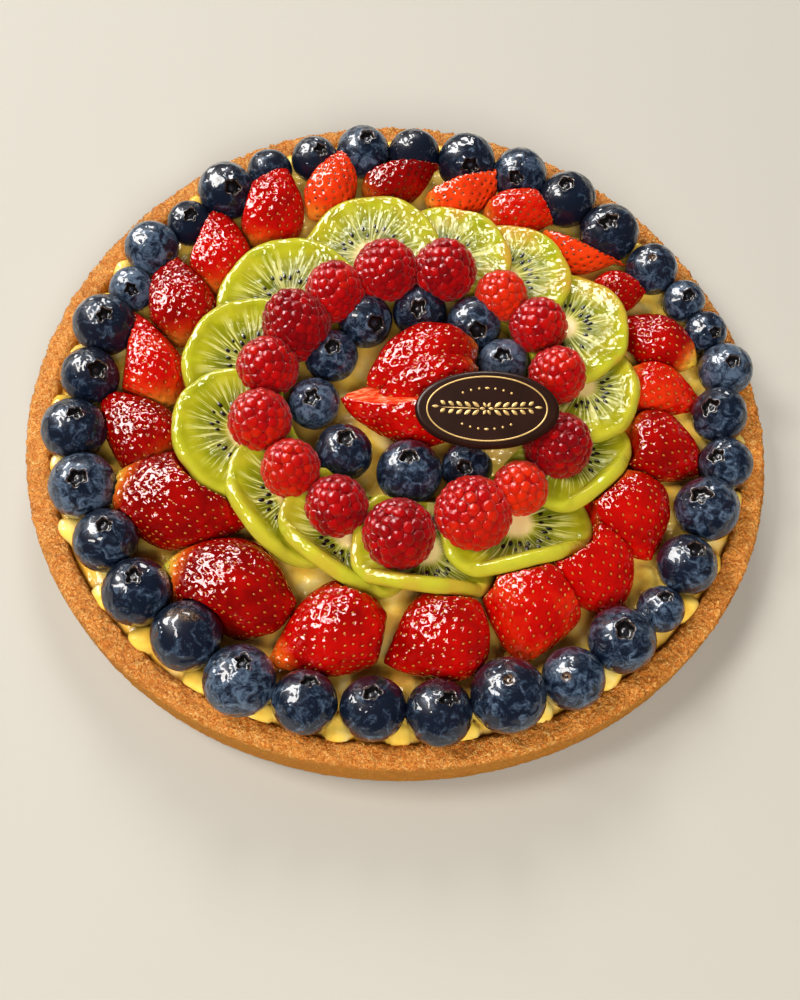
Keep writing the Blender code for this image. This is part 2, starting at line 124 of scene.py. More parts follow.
def finishPiece(name, bm, materials, slot, *nodes):
    # Makes a piece of the tart from a bmesh in millimetres.
    bmesh.ops.scale(bm, vec=(mm, mm, mm), verts=bm.verts)
    mesh = meshOf(name, bm)
    for material in materials:
        mesh.materials.append(material)
    mesh.polygons.foreach_set("use_smooth", [True] * len(mesh.polygons))
    piece = newObject(name, mesh)
    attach(piece, "root")
    if nodes:
        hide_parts(*nodes)
    return piece


def joinIn(bm, other):
    # Adds the faces of another bmesh, which is freed.
    mesh = meshOf("joined", other)
    bm.from_mesh(mesh)
    bpy.data.meshes.remove(mesh)


def scatter(bm, small, slotIndex, places, layer=None, values=()):
    # Adds a copy of a small bmesh for each matrix, each with its own value in the layer.
    for face in small.faces:
        face.material_index = slotIndex
    if layer:
        small.verts.layers.float.new(layer)
    mesh = meshOf("small", small)
    for index, matrix in enumerate(places):
        copy = mesh.copy()
        copy.transform(matrix)
        if layer:
            copy.attributes[layer].data.foreach_set("value", [values[index]] * len(copy.vertices))
        bm.from_mesh(copy)
        bpy.data.meshes.remove(copy)
    bpy.data.meshes.remove(mesh)


def lieOn(here, normal, towards, sizes):
    # The matrix that lays a small shape on a surface, its X along the second direction.
    out = (towards - normal * towards.dot(normal)).normalized()
    side = normal.cross(out)
    stand = Matrix([[out[i], side[i], normal[i], here[i]] for i in range(3)] + [[0, 0, 0, 1]])
    return stand @ Matrix.Diagonal((*sizes, 1))


def seedShape(rings, taper):
    # A small ball that narrows towards +X.
    bm = bmesh.new()
    bmesh.ops.create_uvsphere(bm, u_segments=rings + 2, v_segments=rings, radius=1)
    for vert in bm.verts:
        vert.co.y *= 1 - taper * vert.co.x
    return bm


def seedSizes(kind, luck, thick):
    grow = luck.uniform(0.8, 1.15)
    return kind["seedLength"] / 2 * grow, kind["seedWidth"] / 2 * grow, thick


def turned(profile, steps):
    # A closed shape spun about Z from points of (radius, height).
    bm = bmesh.new()
    points = [bm.verts.new((radius, 0, height)) for radius, height in profile]
    edges = [bm.edges.new(pair) for pair in zip(points, points[1:])]
    bmesh.ops.spin(bm, geom=points + edges, cent=(0, 0, 0), axis=(0, 0, 1), dvec=(0, 0, 0),
                   angle=math.tau, steps=steps, use_merge=True)
    bmesh.ops.remove_doubles(bm, verts=bm.verts, dist=0.0001)
    bmesh.ops.recalc_face_normals(bm, faces=bm.faces)
    return bm


def densify(profile, step):
    # The same profile with points no further apart than about one step.
    made = [profile[0]]
    for start, end in zip(profile, profile[1:]):
        cuts = max(1, round(math.dist(start, end) / step))
        made += [(start[0] + (end[0] - start[0]) * i / cuts, start[1] + (end[1] - start[1]) * i / cuts)
                 for i in range(1, cuts + 1)]
    return made


def addLayers(bm, *names):
    return [bm.verts.layers.float.new(name) for name in names]


def ripple(point, size, seed=0.0):
    # Smooth noise from -1 to 1 whose lumps are about this many millimetres wide.
    return noise.noise(point / size + Vector((seed, seed * 1.7, -seed)))


def nearest(points):
    # A tree that finds which of the points is near.
    tree = kdtree.KDTree(len(points))
    for index, point in enumerate(points):
        tree.insert(point, index)
    tree.balance()
    return tree


def pressFlat(bm, point, normal, soft, mark=None):
    # Flattens what lies past a plane, with a soft edge, and marks the flat in a layer.
    for vert in bm.verts:
        past = (vert.co - point).dot(normal)
        if past > -4 * soft:
            kept = -soft * math.log1p(math.exp(-past / soft))
            vert.co += normal * (kept - past)
            if mark and past > 0:
                vert[mark] = max(vert[mark], min(past / 0.5, 1.0))


def leanOn(bm, centre, radius, core):
    # Dents a soft fruit where it leans on a round one. The core is the point inside it that is nearest.
    flatAt = 0.78  # share of the round fruit's radius
    way = (centre - core).normalized()
    pressFlat(bm, centre - way * radius * flatAt, way, 0.5)
    for vert in bm.verts:
        away = vert.co - centre
        if away.length < radius:
            vert.co = centre + away.normalized() * radius


def plumpRadius(along, pointed, fullness):
    # The radius, from 0 to 1, of a berry from its thick end at 0 to its tip at 1.
    return max(math.sin(math.pi * clamp(along) ** pointed), 0.0) ** fullness


def spiral(count, pointed, fullness, ends):
    # How far along a berry each of its seeds or drupelets stands, so that they lie evenly apart.
    cells = 60
    table = [0.0]
    for i in range(cells):
        table.append(table[-1] + plumpRadius((i + 0.5) / cells, pointed, fullness) + ends)
    for i in range(count):
        share = (i + 0.5) / count * table[-1]
        slot = bisect.bisect(table, share) - 1
        yield (slot + (share - table[slot]) / (table[slot + 1] - table[slot])) / cells


# The camera stands where a person at the table would, and four lamps and a pale floor make the studio.
view = {"lens": 45.36, "sensor": 36, "place": (0.05, -181.7, 354.9), "turn": (-0.82, 24.39, 4.01)}
studio = {
    "lamps": {
        "key": {"place": (-0.82, 0.12, 1.25), "size": 0.5, "power": 12.0, "colour": "fffaf4"},
        "back": {"place": (-0.1, 1.3, 1.0), "size": 0.52, "power": 13.0, "colour": "fffdfa"},
        "front": {"place": (0.1, -1.15, 1.25), "size": 0.8, "power": 25.0, "colour": "fffcf8"},
        "window": {"place": (-0.95, 0.72, 0.88), "size": 0.8, "power": 30.0, "colour": "fffdfa"},
    },
    "sky": 0.1, "skyColour": "f4f1ec", "floor": "b1aea6", "floorReach": 3,  # in metres
}

camera = newObject("camera", bpy.data.cameras.new("camera"))
camera.data.lens = view["lens"]
camera.data.sensor_width = view["sensor"]
camera.data.clip_start = 0.01
first, second, third = [math.radians(angle) for angle in view["turn"]]
turn = Matrix.Rotation(first, 4, "Z") @ Matrix.Rotation(second, 4, "X") @ Matrix.Rotation(third, 4, "Z")
camera.matrix_world = Matrix.Translation(Vector(view["place"]) * mm) @ turn
scene.camera = camera

for name, lamp in studio["lamps"].items():
    light = bpy.data.lights.new(name, "AREA")
    light.shape = "SQUARE"
    light.size = lamp["size"]
    light.energy = lamp["power"]
    light.color = hexColour(lamp["colour"])[:3]
    holder = newObject(name, light)
    holder.location = lamp["place"]
    holder.rotation_euler = (-Vector(lamp["place"])).to_track_quat("-Z", "Y").to_euler()
    holder.visible_glossy = name != "front"  # the front light only fills
    holder.visible_diffuse = name != "window"  # the window only shines in the glaze
world = bpy.data.worlds.new("soft room")
scene.world = world
world.use_nodes = True
feed(world.node_tree.nodes["Background"], {"Color": studio["skyColour"], "Strength": studio["sky"]})
scene.view_settings.view_transform = "Standard"
scene.view_settings.look = "Medium High Contrast"  # a camera's own tone curve

# Matt paper: pale, with no shine, so that only the tart's soft shadow shows on it.
paper = startMaterial("matt paper backdrop", {"Base Color": studio["floor"], "Roughness": 0.8})[0]
bm = bmesh.new()
bmesh.ops.create_grid(bm, x_segments=1, y_segments=1, size=studio["floorReach"])
mesh = meshOf("floor", bm)
mesh.materials.append(paper)
newObject("floor", mesh)
print("stage set")


# The case is a ring of shortcrust with a rough, flaky rim.
crust = {
    "radius": 110.4, "wall": 7.3, "bottom": 4.0,
    "outOfRound": ((2, 1.04, 24), (3, 1.35, 75)),  # waves per turn, swing, degrees of shift
    "crumb": 0.95, "flake": 0.6, "sway": 0.5, "wobble": 0.25, "bite": 2.2,  # heights of the rim's relief
    "side": 0.28,  # how much of the crumb the wall has
    "steps": 1500,
    # The dark colour is painted shade in the hollows and on the low grain; pale is partly painted light on the
    # high grain.
    "toasted": "da863e", "golden": "f0aa54", "pale": "ffdc9c", "dark": "a85c22", "wallTone": "c28632",
}


def followCrust(bm):
    # The ring that it was baked in was not quite round.
    for vert in bm.verts:
        reach = vert.co.xy.length
        if reach > 1:
            angle = math.atan2(vert.co.y, vert.co.x)
            swell = sum(swing * math.cos(waves * angle + math.radians(shift))
                        for waves, swing, shift in crust["outOfRound"])
            vert.co.xy *= 1 + swell / crust["radius"]


def makeShortcrust():
    # Baked shortcrust: a dry, sandy, matt surface. Its crumb is 1 to 2 mm. Its colour is partly its own tone
    # and partly painted light on the high grain, with painted shade on the low grain and in the hollows.
    material, shader, place, add = startMaterial("baked shortcrust", {
        "Roughness": 0.78, "Specular IOR Level": 0.3, "Subsurface Weight": 0.12, "Subsurface Scale": 0.001})
    grain = add("TexNoise", {
        "Vector": place, "Scale": 0.75, "Detail": 4.0, "Roughness": 0.6, "Distortion": 2.4})
    patches = add("TexNoise", {"Vector": place, "Scale": 0.09, "Detail": 3.0})
    flakes = add("TexVoronoi", {"Vector": place, "Scale": 0.95, "Randomness": 1.0}, feature="F1")
    # Both ramps follow the grain that also lifts the bump: the crumb's own tone, plus painted light where the
    # grain is high and painted shade where it is low.
    tone = add("ValToRGB", {0: grain}, stops=(
        (0.32, crust["dark"]), (0.43, crust["toasted"]), (0.54, crust["golden"]), (0.68, crust["pale"])))
    side = add("ValToRGB", {0: grain}, stops=(
        (0.28, crust["toasted"]), (0.48, crust["wallTone"]), (0.75, crust["golden"])))
    rim, hollowShade = [add("Attribute", {}, "Fac", attribute_name=name) for name in ("rim", "hollowShade")]
    browner = add("MapRange", {0: patches, 1: 0.4, 2: 0.7, 3: 0.0, 4: 0.25})
    # Painted shade in the hollows of the rim.
    darker = add("Math", {0: hollowShade, 1: 0.45}, operation="MULTIPLY")
    colour = side
    for share, over in ((rim, tone), (browner, crust["toasted"]), (darker, crust["dark"])):
        colour = add("Mix", {0: share, 6: colour, 7: over}, 2, data_type="RGBA")
    height = add("Math", {0: flakes, 1: -0.45, 2: grain}, operation="MULTIPLY_ADD")
    bump = add("Bump", {"Height": height, "Strength": 1.0, "Distance": 0.0013})
    feed(shader, {"Base Color": colour, "Normal": bump})
    return material


def makeCrust():
    outer = crust["radius"]
    inner = outer - crust["wall"]
    top = crustTop - 0.3
    wall = [(outer - 1.6, 0), (outer - 0.5, 0.6), (outer - 0.2, 2.5), (outer, top - 2.2),
            (outer - 0.5, top - 0.7), (outer - 1.6, top), (inner + 1.6, top), (inner + 0.5, top - 0.6),
            (inner, top - 1.8), (inner - 0.2, top - 6)]
    inside = [(inner - 2, crust["bottom"]), (0, crust["bottom"])]
    bm = turned([(0, 0), (40, 0), (80, 0)] + densify(wall, 0.6) + inside, crust["steps"])
    rim, hollowShade = addLayers(bm, "rim", "hollowShade")
    bm.normal_update()
    for vert in bm.verts:
        here = vert.co.copy()
        if here.z < 0.3 or here.xy.length < inner - 1:
            continue
        share = clamp((here.z - top + 2.6) / 1.8)  # 0 on the wall, 1 on the rim
        vert[rim] = share
        crumb = ripple(here, 3.2) * 0.5 + ripple(here, 1.5, 3) * 0.5
        flake = ripple(Vector((here.x, here.y, here.z * 2)), 0.8, 7)
        # Painted shade: the dips of crumb and flake on the rim are marked to be coloured darker.
        vert[hollowShade] = clamp(-crumb * 1.6 - flake * 0.5) * share
        relief = crust["crumb"] * crumb + crust["flake"] * flake
        vert.co += vert.normal * relief * (crust["side"] + (1 - crust["side"]) * share)
        vert.co.z += (crust["sway"] * ripple(here, 17, 9) + crust["wobble"] * ripple(here, 6, 4)) * share
        if vert.co.xy.length > outer - 1.5:  # a few bites where the edge crumbled
            vert.co.z -= max(0.0, ripple(here, 7, 21) - 0.35) * crust["bite"] * share
    followCrust(bm)
    finishPiece("crust-baked", bm, [makeShortcrust()], "shortcrust", "crust")


makeCrust()
print("crust done")


custard = {
    "steps": 720, "lumps": 0.5, "wrinkles": 0.4, "swell": 0.7,  # heights of its relief
    "dollopWide": 4.3, "sink": 1.6,  # how far it sinks between the dollops
    "dollops": (((99.5, 101.5), (2.6, 4.8)), ((85, 88), (0.5, 2.0))),  # their reaches and heights
    # The crease colour is painted shade in the low places along the crust.
    "yellow": "f6d468", "cream": "fbe8a4", "gold": "ecbe4e", "juice": "e0b062", "creaseShade": "c48a2e",
}


def makeGlazedCustard():
    # Set custard under clear glaze: smooth, soft and a little see-through, with fruit juice in the hollows.
    material, shader, place, add = startMaterial("glazed custard", {
        "Roughness": 0.5, "Specular IOR Level": 0.0,
        "Subsurface Weight": 0.2, "Subsurface Scale": 0.0015, "Subsurface Radius": (1.0, 0.75, 0.3),
        "Coat Weight": 1.0, "Coat Roughness": 0.04, "Coat IOR": 1.45})
    soft = add("TexNoise", {"Vector": place, "Scale": 0.13, "Detail": 4.0})
    tone = add("ValToRGB", {0: soft}, stops=(
        (0.32, custard["gold"]), (0.5, custard["yellow"]), (0.72, custard["cream"])))
    juicy = add("TexNoise", {"Vector": place, "Scale": 0.07, "Detail": 2.0})
    juicy = add("MapRange", {0: juicy, 1: 0.42, 2: 0.62, 3: 0.0, 4: 0.65})
    near, creaseShade = [add("Attribute", {}, "Fac", attribute_name=name) for name in ("juice", "creaseShade")]
    stained = add("Math", {0: near, 1: juicy}, operation="MULTIPLY")
    colour = tone
    # The crease colour is painted shade; the juice is a stain.
    for share, over in ((creaseShade, custard["creaseShade"]), (stained, custard["juice"])):
        colour = add("Mix", {0: share, 6: colour, 7: over}, 2, data_type="RGBA")
    fine = add("TexNoise", {"Vector": place, "Scale": 0.45, "Detail": 2.0})
    bump = add("Bump", {"Height": fine, "Strength": 0.7, "Distance": 0.0008})
    feed(shader, {"Base Color": colour, "Coat Normal": bump})
    return material


def placeDollops(berries):
    # One dollop outside each gap between two berries, and a lower one inside it.
    luck = random.Random(31)
    dollops = []
    for (here, _), (after, _) in zip(berries, berries[1:] + berries[:1]):
        between = math.degrees(math.atan2(here.y + after.y, here.x + after.x))
        for reaches, heights in custard["dollops"]:
            middle = spot(between + luck.uniform(-2, 2), luck.uniform(*reaches))
            dollops.append((middle, luck.uniform(*heights)))
    return dollops


def makeCustard(berries):
    edge = crust["radius"] - crust["wall"] - 0.1
    profile = [(0, 4.4), (edge - 2.4, 4.4), (edge - 0.6, 6.5), (edge - 0.2, custardTop - 1.2)]
    profile += densify([(edge, custardTop - 0.6), (edge - 1.2, custardTop), (84, custardTop)], 0.7)
    profile += densify([(84, custardTop), (20, custardTop)], 1.6)[1:]
    bm = turned(profile + [(0, custardTop)], custard["steps"])
    juice, creaseShade = addLayers(bm, "juice", "creaseShade")
    dollops = placeDollops(berries)
    near = nearest([middle for middle, _ in dollops])
    wide = custard["dollopWide"]
    for vert in bm.verts:
        here = vert.co.copy()
        reach = here.xy.length
        if here.z < custardTop - 1.3 or reach < 10:
            continue
        vert[juice] = clamp((92 - reach) / 8)
        rise = custard["lumps"] * ripple(here, 5.5) + custard["wrinkles"] * ripple(here, 2.6, 5)
        wavy = Vector((here.x, here.y, 0)) + Vector((ripple(here, 5, 8), ripple(here, 5, 18), 0)) * 1.4
        dome = max([dollops[index][1] * math.sqrt(max(1 - (away / wide) ** 2, 0))
                    for _, index, away in near.find_range(wavy, wide)], default=0)
        border = clamp((reach - 97) / 6)  # 1 along the crust
        rise += dome + border * custard["swell"] * (0.9 * ripple(here, 9, 12) + 0.6 * ripple(here, 2.2, 17))
        rise -= border * max(0.0, custard["sink"] - dome)
        # Painted shade: darker where the custard lies low along the crust between the dollops.
        vert[creaseShade] = border * clamp(1.0 - rise) * 0.7
        vert.co.z += rise
        vert.co.xy *= 1 + border * (max(0.0, ripple(here, 8, 31)) + 0.3 * max(0.0, dome - 1)) / reach
    followCrust(bm)
    finishPiece("custard-set", bm, [makeGlazedCustard()], "custard", "custard")


blueberry = {
    "steps": 44, "flatness": 0.94, "uneven": 0.22,
    "pitDeep": 0.15, "pitWide": 0.255, "crownWide": 0.29, "lobeHigh": 0.045,  # shares of the radius
    "patchLong": 0.42, "patchWide": 0.17,
    "navy": "111b2c", "plum": "191c2a", "bloom": "46596f", "pale": "8494a8",
    "pit": "0d0a0b", "dry": "7a5c42",
    "arc": 7, "arcGap": 0.35,  # berries that hang together in one CAD solid, and the gap to the next
    "start": 109.5,
}
# Outer ring, clockwise: reach, diameter, which end shows, its tilt from upright, and where it leans to.
outerBerries = (
    (95, 15.5, "crown", 20, -30), (94.5, 17.5, "crown", 10, 0), (93.5, 17, "none", 0, 0),
    (92.5, 19, "crown", 45, -80), (94, 18, "crown", 45, -110), (93.5, 18.5, "crown", 10, -170),
    (92, 19, "crown", 15, -130), (94.5, 16.5, "scar", 10, -140), (98, 13.5, "crown", 15, -80),
    (99.5, 13.5, "crown", 30, -60), (101, 16.5, "crown", 10, -80), (96.5, 17, "crown", 35, -170),
    (98.5, 16, "crown", 35, -170), (95.5, 19, "crown", 25, 170), (96.5, 17.5, "crown", 15, 60),
    (97.5, 13.5, "crown", 15, 80), (96, 19, "crown", 5, 180), (97, 17.5, "scar", 25, -150),
    (94.5, 21, "scar", 10, 120), (95, 18.5, "crown", 20, 40), (93.5, 18, "crown", 15, 100),
    (95, 18, "crown", 30, 70), (96, 20, "crown", 20, 60), (93.5, 20, "patch", 20, 100),
    (94.5, 19.5, "crown", 10, 80), (94, 18.5, "crown", 10, 60), (95, 19.5, "crown", 10, -70),
    (95.5, 19, "crown", 15, 30), (92.5, 17.5, "crown", 30, -20), (93, 19, "crown", 15, -40),
    (92, 14, "crown", 35, -70), (94.5, 17.5, "none", 0, 0), (93, 14.5, "crown", 15, -50),
    (94.5, 18.5, "crown", 35, -50), (95.5, 15, "none", 0, 0),
)
# Round the middle: angle, reach, diameter and the same three facts.
innerBerries = {
    "blueberries-inner-back": (
        (144, 26, 16.4, "crown", 10, -60), (112, 30.5, 16.8, "crown", 45, -50),
        (81, 33, 16.8, "crown", 25, -100), (53, 36.5, 17.2, "crown", 45, -80),
        (27, 35, 16.0, "crown", 10, -120)),
    "blueberries-inner-front": (
        (183, 25, 15.8, "crown", 15, -100), (229, 23, 17.2, "crown", 10, 50),
        (281, 23.5, 19.4, "crown", 5, 120), (317, 29, 15.2, "crown", 25, -110)),
}


def berryMiddle(angle, reach, diameter):
    return spot(angle, reach, fruitFloor + diameter * blueberry["flatness"] / 2)


def ringOfBerries():
    # Each berry stands against the one before it, squeezed just enough to close the ring.
    def steps(squeeze):
        for number, (here, after) in enumerate(zip(outerBerries, outerBerries[1:] + outerBerries[:1]), 1):
            apart = (here[1] + after[1]) / 2 - (squeeze if number % blueberry["arc"] else -blueberry["arcGap"])
            yield math.acos((here[0] ** 2 + after[0] ** 2 - apart ** 2) / (2 * here[0] * after[0]))

    low, high = -2.0, 4.0
    for _ in range(30):
        squeeze = (low + high) / 2
        low, high = (squeeze, high) if sum(steps(squeeze)) > math.tau else (low, squeeze)
    angle = blueberry["start"]
    placed = []
    for (reach, diameter, *_), step in zip(outerBerries, steps(squeeze)):
        placed.append((berryMiddle(angle, reach, diameter), diameter))
        angle -= math.degrees(step)
    return placed


def makeBerrySkin():
    # Blueberry skin: almost black navy, with grey-blue wax bloom rubbed off in patches, under clear glaze.
    material, shader, place, add = startMaterial("blueberry skin", {
        "Roughness": 0.36, "Specular IOR Level": 0.2,
        "Coat Weight": 1.0, "Coat Roughness": 0.02, "Coat IOR": 1.5})
    patch = add("TexNoise", {
        "Vector": place, "Scale": 0.3, "Detail": 7.0, "Roughness": 0.64, "Distortion": 1.1})
    speck = add("TexNoise", {"Vector": place, "Scale": 1.6, "Detail": 5.0, "Roughness": 0.7})
    hue = add("TexNoise", {"Vector": place, "Scale": 0.08, "Detail": 2.0})
    skin = add("ValToRGB", {0: hue}, stops=((0.4, blueberry["navy"]), (0.68, blueberry["plum"])))
    speckled = add("Math", {0: speck, 1: 0.5}, operation="SUBTRACT")
    waxed = add("Math", {0: speckled, 1: 0.35, 2: patch}, operation="MULTIPLY_ADD")
    bloom, dry, pit = [add("Attribute", {}, "Fac", attribute_name=name) for name in ("bloom", "dry", "pit")]
    # The bloom attribute carries each berry's random bloom and the painted light and shade set by where the
    # berry stands.
    waxed = add("Math", {0: bloom, 1: 0.22, 2: waxed}, operation="MULTIPLY_ADD")
    share = add("MapRange", {0: waxed, 1: 0.48, 2: 0.68, 3: 0.0, 4: 0.75})
    half = add("Math", {0: share, 1: 0.5}, operation="MULTIPLY")
    waxAndPaintedLight = add("Mix", {0: half, 6: blueberry["bloom"], 7: blueberry["pale"]}, 2, data_type="RGBA")
    dusty = add("MapRange", {0: speck, 1: 0.45, 2: 0.6})
    dried = add("Mix", {0: dusty, 6: blueberry["pit"], 7: blueberry["dry"]}, 2, data_type="RGBA")
    colour = skin
    for share, over in ((share, waxAndPaintedLight), (dry, dried), (pit, blueberry["pit"])):
        colour = add("Mix", {0: share, 6: colour, 7: over}, 2, data_type="RGBA")
    glaze = add("TexNoise", {
        "Vector": place, "Scale": 0.3, "Detail": 1.0, "Roughness": 0.3, "Distortion": 0.4})
    bump = add("Bump", {"Height": glaze, "Strength": 1.0, "Distance": 0.0011})
    fine = add("Bump", {"Height": waxed, "Strength": 0.25, "Distance": 0.0003})
    feed(shader, {"Base Color": colour, "Coat Normal": bump, "Normal": fine})
    return material


def berryProfile(shown):
    # From the middle of the crown over its rim and down to the stem end, for a radius of one.
    pit = 1 - blueberry["pitDeep"]
    crown = [(0, pit - 0.03), (0.035, pit), (0.06, pit - 0.035), (0.13, pit - 0.04), (0.20, pit - 0.02),
             (0.245, 0.90), (0.262, 0.97), (0.285, 1.005), (0.315, 1.0), (0.345, 0.965), (0.385, 0.928)]
    body = [(math.sin(a), math.cos(a)) for a in [math.radians(26 + 154 * i / 26) for i in range(27)]]
    if shown == "patch":
        scar = [(0, -1)]
        body = [point for point in body if point[0] > 0.01 or point[1] > 0]
    else:
        scar = [(0.095, -0.985), (0.075, -0.955), (0.05, -0.95), (0.03, -0.965), (0, -0.97)]
        body = [point for point in body if point[0] > 0.11 or point[1] > 0]
    return crown + body + scar


def shapeCrown(vert, luckOf, layers):
    # Five uneven lobes round a dark pit, with a dry rim.
    dry, pit = layers
    reach = vert.co.xy.length
    angle = math.atan2(vert.co.y, vert.co.x)
    lobe = (math.cos(5 * angle + luckOf["phase"]) + 0.6 * math.sin(2 * angle + luckOf["seed"])
            + 0.4 * math.sin(3 * angle - luckOf["seed"]))
    share = min(reach / 0.26, 1.0) * (1 - max(0.0, (reach - 0.33) / 0.09))
    rimShare = max(0.0, 1 - abs(reach - blueberry["crownWide"]) / 0.07)
    vert.co.z += rimShare * (blueberry["lobeHigh"] * max(lobe, 0) - 0.03)
    stretch = 1 - luckOf["sharp"] * lobe * share
    vert.co.xy *= stretch * (1 + (luckOf["wide"] - 1) * min(share * 2, 1))
    vert[pit] = 1.0 if reach < blueberry["pitWide"] else 0.0
    vert[dry] = 0.75 if blueberry["pitWide"] < reach < 0.30 else 0.0
    if reach < 0.07:  # what is left of the flower
        vert[pit], vert[dry] = 0.25, 0.3


def makeBerry(name, place, diameter, shown, tilt, lean, skin, node):
    luck = random.Random(name)
    radius = diameter / 2
    bm = turned(berryProfile(shown), blueberry["steps"])
    bloom, dry, pit = addLayers(bm, "bloom", "dry", "pit")
    # Bloom differs at random from berry to berry. It is also painted paler on the inner berries as painted
    # light, and thinner at the back as painted shade.
    waxAndPaintedLight = luck.uniform(-0.3, 0.55) - (0.35 if place.y > 60 else 0) + (0.3 if place.xy.length < 40 else 0)
    wide = luck.uniform(0.85, 1.12) * (0.9 if radius > 9 else 1.0)
    luckOf = {"wide": wide, "sharp": luck.uniform(0.08, 0.2), "phase": luck.uniform(0, math.tau),
              "seed": luck.uniform(0, 50)}
    for vert in bm.verts:
        reach = vert.co.xy.length
        vert[bloom] = waxAndPaintedLight
        if vert.co.z > 0.5 and reach < 0.42:
            shapeCrown(vert, luckOf, (dry, pit))
        if vert.co.z < -0.5 and reach < 0.1:
            vert[dry] = 1.0
        if shown == "patch" and vert.co.z < 0:
            oval = math.hypot(vert.co.x / blueberry["patchLong"], vert.co.y / blueberry["patchWide"])
            vert[dry] = clamp((1.25 - oval) / 0.3) * 0.9
    bmesh.ops.scale(bm, vec=(radius, radius, radius * blueberry["flatness"]), verts=bm.verts)
    bm.normal_update()
    for vert in bm.verts:
        vert.co += vert.normal * (blueberry["uneven"] * ripple(vert.co, 7, luckOf["seed"])
                                  + 0.06 * ripple(vert.co, 2.2, luckOf["seed"]))
    way = spot(lean, math.sin(math.radians(tilt)), math.cos(math.radians(tilt)))
    if shown in ("scar", "patch"):
        way = -way
    if shown == "none":
        way = Vector((place.x, place.y, -30)).normalized()
    twist = Matrix.Rotation(luck.uniform(0, math.tau) if shown != "patch" else 0.3, 4, "Z")
    stand = Matrix.Translation(place) @ way.to_track_quat("Z", "Y").to_matrix().to_4x4() @ twist
    bmesh.ops.transform(bm, matrix=stand, verts=bm.verts)
    finishPiece(name, bm, [skin], "blueberry", node)


outerRing = ringOfBerries()
makeCustard(outerRing)
print("custard done")
berrySkin = makeBerrySkin()
for number, ((place, diameter), row) in enumerate(zip(outerRing, outerBerries)):
    node = f"blueberries-outer-{number // blueberry['arc'] + 1}"
    makeBerry(f"blueberry-outer-{number + 1:02}", place, diameter, *row[2:], berrySkin, node)
innerRing = []
for node, rows in innerBerries.items():
    for number, (angle, reach, diameter, *facts) in enumerate(rows, 1):
        place = berryMiddle(angle, reach, diameter)
        innerRing.append((place, diameter))
        makeBerry(f"blueberry-{node[12:]}-{number}", place, diameter, *facts, berrySkin, node)
print("blueberries done")


kiwi = {
    "thick": 4.6, "steps": 108,
    "middle": Vector((3.5, 5.0, 0.0)),  # of the ring of slices
    "innerEdge": 38.0,  # the slices end here, under the raspberries
    "twist": 10.8, "reachRound": math.radians(25), "riseFrom": 40, "curl": 0.007, "curlFront": 0.0035,
    "knee": 3.5,  # the height under which a leaning slice bends flat
    "near": 45,  # a slice whose edge is further from a strawberry's middle than this isn't over it
    "seeds": 34, "seedLength": 2.1, "seedWidth": 1.15, "seedsMissing": 0.08,
    "flesh": "8e9014", "bright": "a8a626", "deep": "425010", "core": "e8d49a", "ray": "dcd890",
    "stain": "bd8c3e", "edge": "bcba40", "seed": "14100c",
}
# Each lies over the one before it: angle, reach, half length, how far its edge is beyond the reach, how
# steeply that edge stands, its lift, its turn from straight outward, and how stained it is.
kiwiSlices = (
    (28, 53, 21.5, 19.5, 26, 0, 0, 0.6), (56.5, 50.5, 21.5, 20, 20, 0, 0, 0.9),
    (81, 47.5, 22.5, 20.5, 16, 0, 0, 0.8), (108, 49.5, 22.5, 21.5, 14, 0, 0, 0.25),
    (146, 47, 23, 22.5, 12, 0, 0, 0.15), (176, 47, 22.5, 22.5, 14, 0, 0, 0.1),
    (202, 52.5, 21, 20.5, 18, 0, 0, 0.1), (229, 50.5, 21.5, 17, 52, 1, -8, 0.15),
    (252.5, 51, 21, 15.5, 62, 3, -13, 0.35), (277, 53.5, 21.5, 14.5, 66, 3, -8, 0.45),
    (307, 54, 23, 15.5, 68, 2.5, -16, 0.1), (338.5, 51.5, 21, 16.5, 60, 1, -19, 0.1),
    (4.5, 52, 20, 18, 46, 0, -5, 0.15),
)


class Slice:
    # A round slice bent over what it lies on. In it, a runs outward, b along the ring and h up.
    step = 0.5  # between the points of its walk

    def __init__(self, row):
        angle, reach, self.half, depth, lean, lift, swing, self.stain = row
        self.axis = spot(angle + swing, 1)
        self.side = spot(angle + swing + 90, 1)
        self.centre = kiwi["middle"] + spot(angle, reach) - self.axis * reach
        self.outer = reach + depth
        self.edge = self.centre + self.axis * self.outer
        curl = kiwi["curl"] - kiwi["curlFront"] * math.sin(math.radians(angle))
        height = curl * (self.outer - kiwi["riseFrom"]) ** 2 + lift
        self.walk = []  # how it lies, from its outer edge inward
        rho = self.outer
        while len(self.walk) < 2 * self.half / self.step + 3:
            tilt = math.radians(lean) * min(1.0, height / kiwi["knee"])
            self.walk.append((-rho, height, tilt))
            rho -= self.step * math.cos(tilt)
            height -= self.step * math.sin(tilt)

    def fall(self, rho, b):
        # The side that rests on the slice before it is the higher one.
        return kiwi["twist"] * max(0.0, kiwi["reachRound"] - math.atan2(b, rho))

    def put(self, a, b, h):
        along = max((self.half - a) / self.step, 0.0)
        index = min(int(along), len(self.walk) - 2)
        here, after = self.walk[index], self.walk[index + 1]
        share = along - index
        rho, height, tilt = [p + (q - p) * share for p, q in zip(here, after)]
        rho = -rho
        level = fruitFloor + height + self.fall(rho, b) + h * math.cos(tilt)
        return self.centre + self.axis * (rho - h * math.sin(tilt)) + self.side * b + up * level

    def underside(self, point):
        off = point - self.centre
        rho, b = off.dot(self.axis), off.dot(self.side)
        if abs(b) > self.half or not -self.walk[0][0] > rho > -self.walk[-1][0]:
            return None
        index = min(bisect.bisect(self.walk, (-rho,)), len(self.walk) - 1)
        a = self.half - index * self.step
        if a * a + b * b > self.half ** 2:
            return None
        return fruitFloor + self.walk[index][1] + self.fall(rho, b)


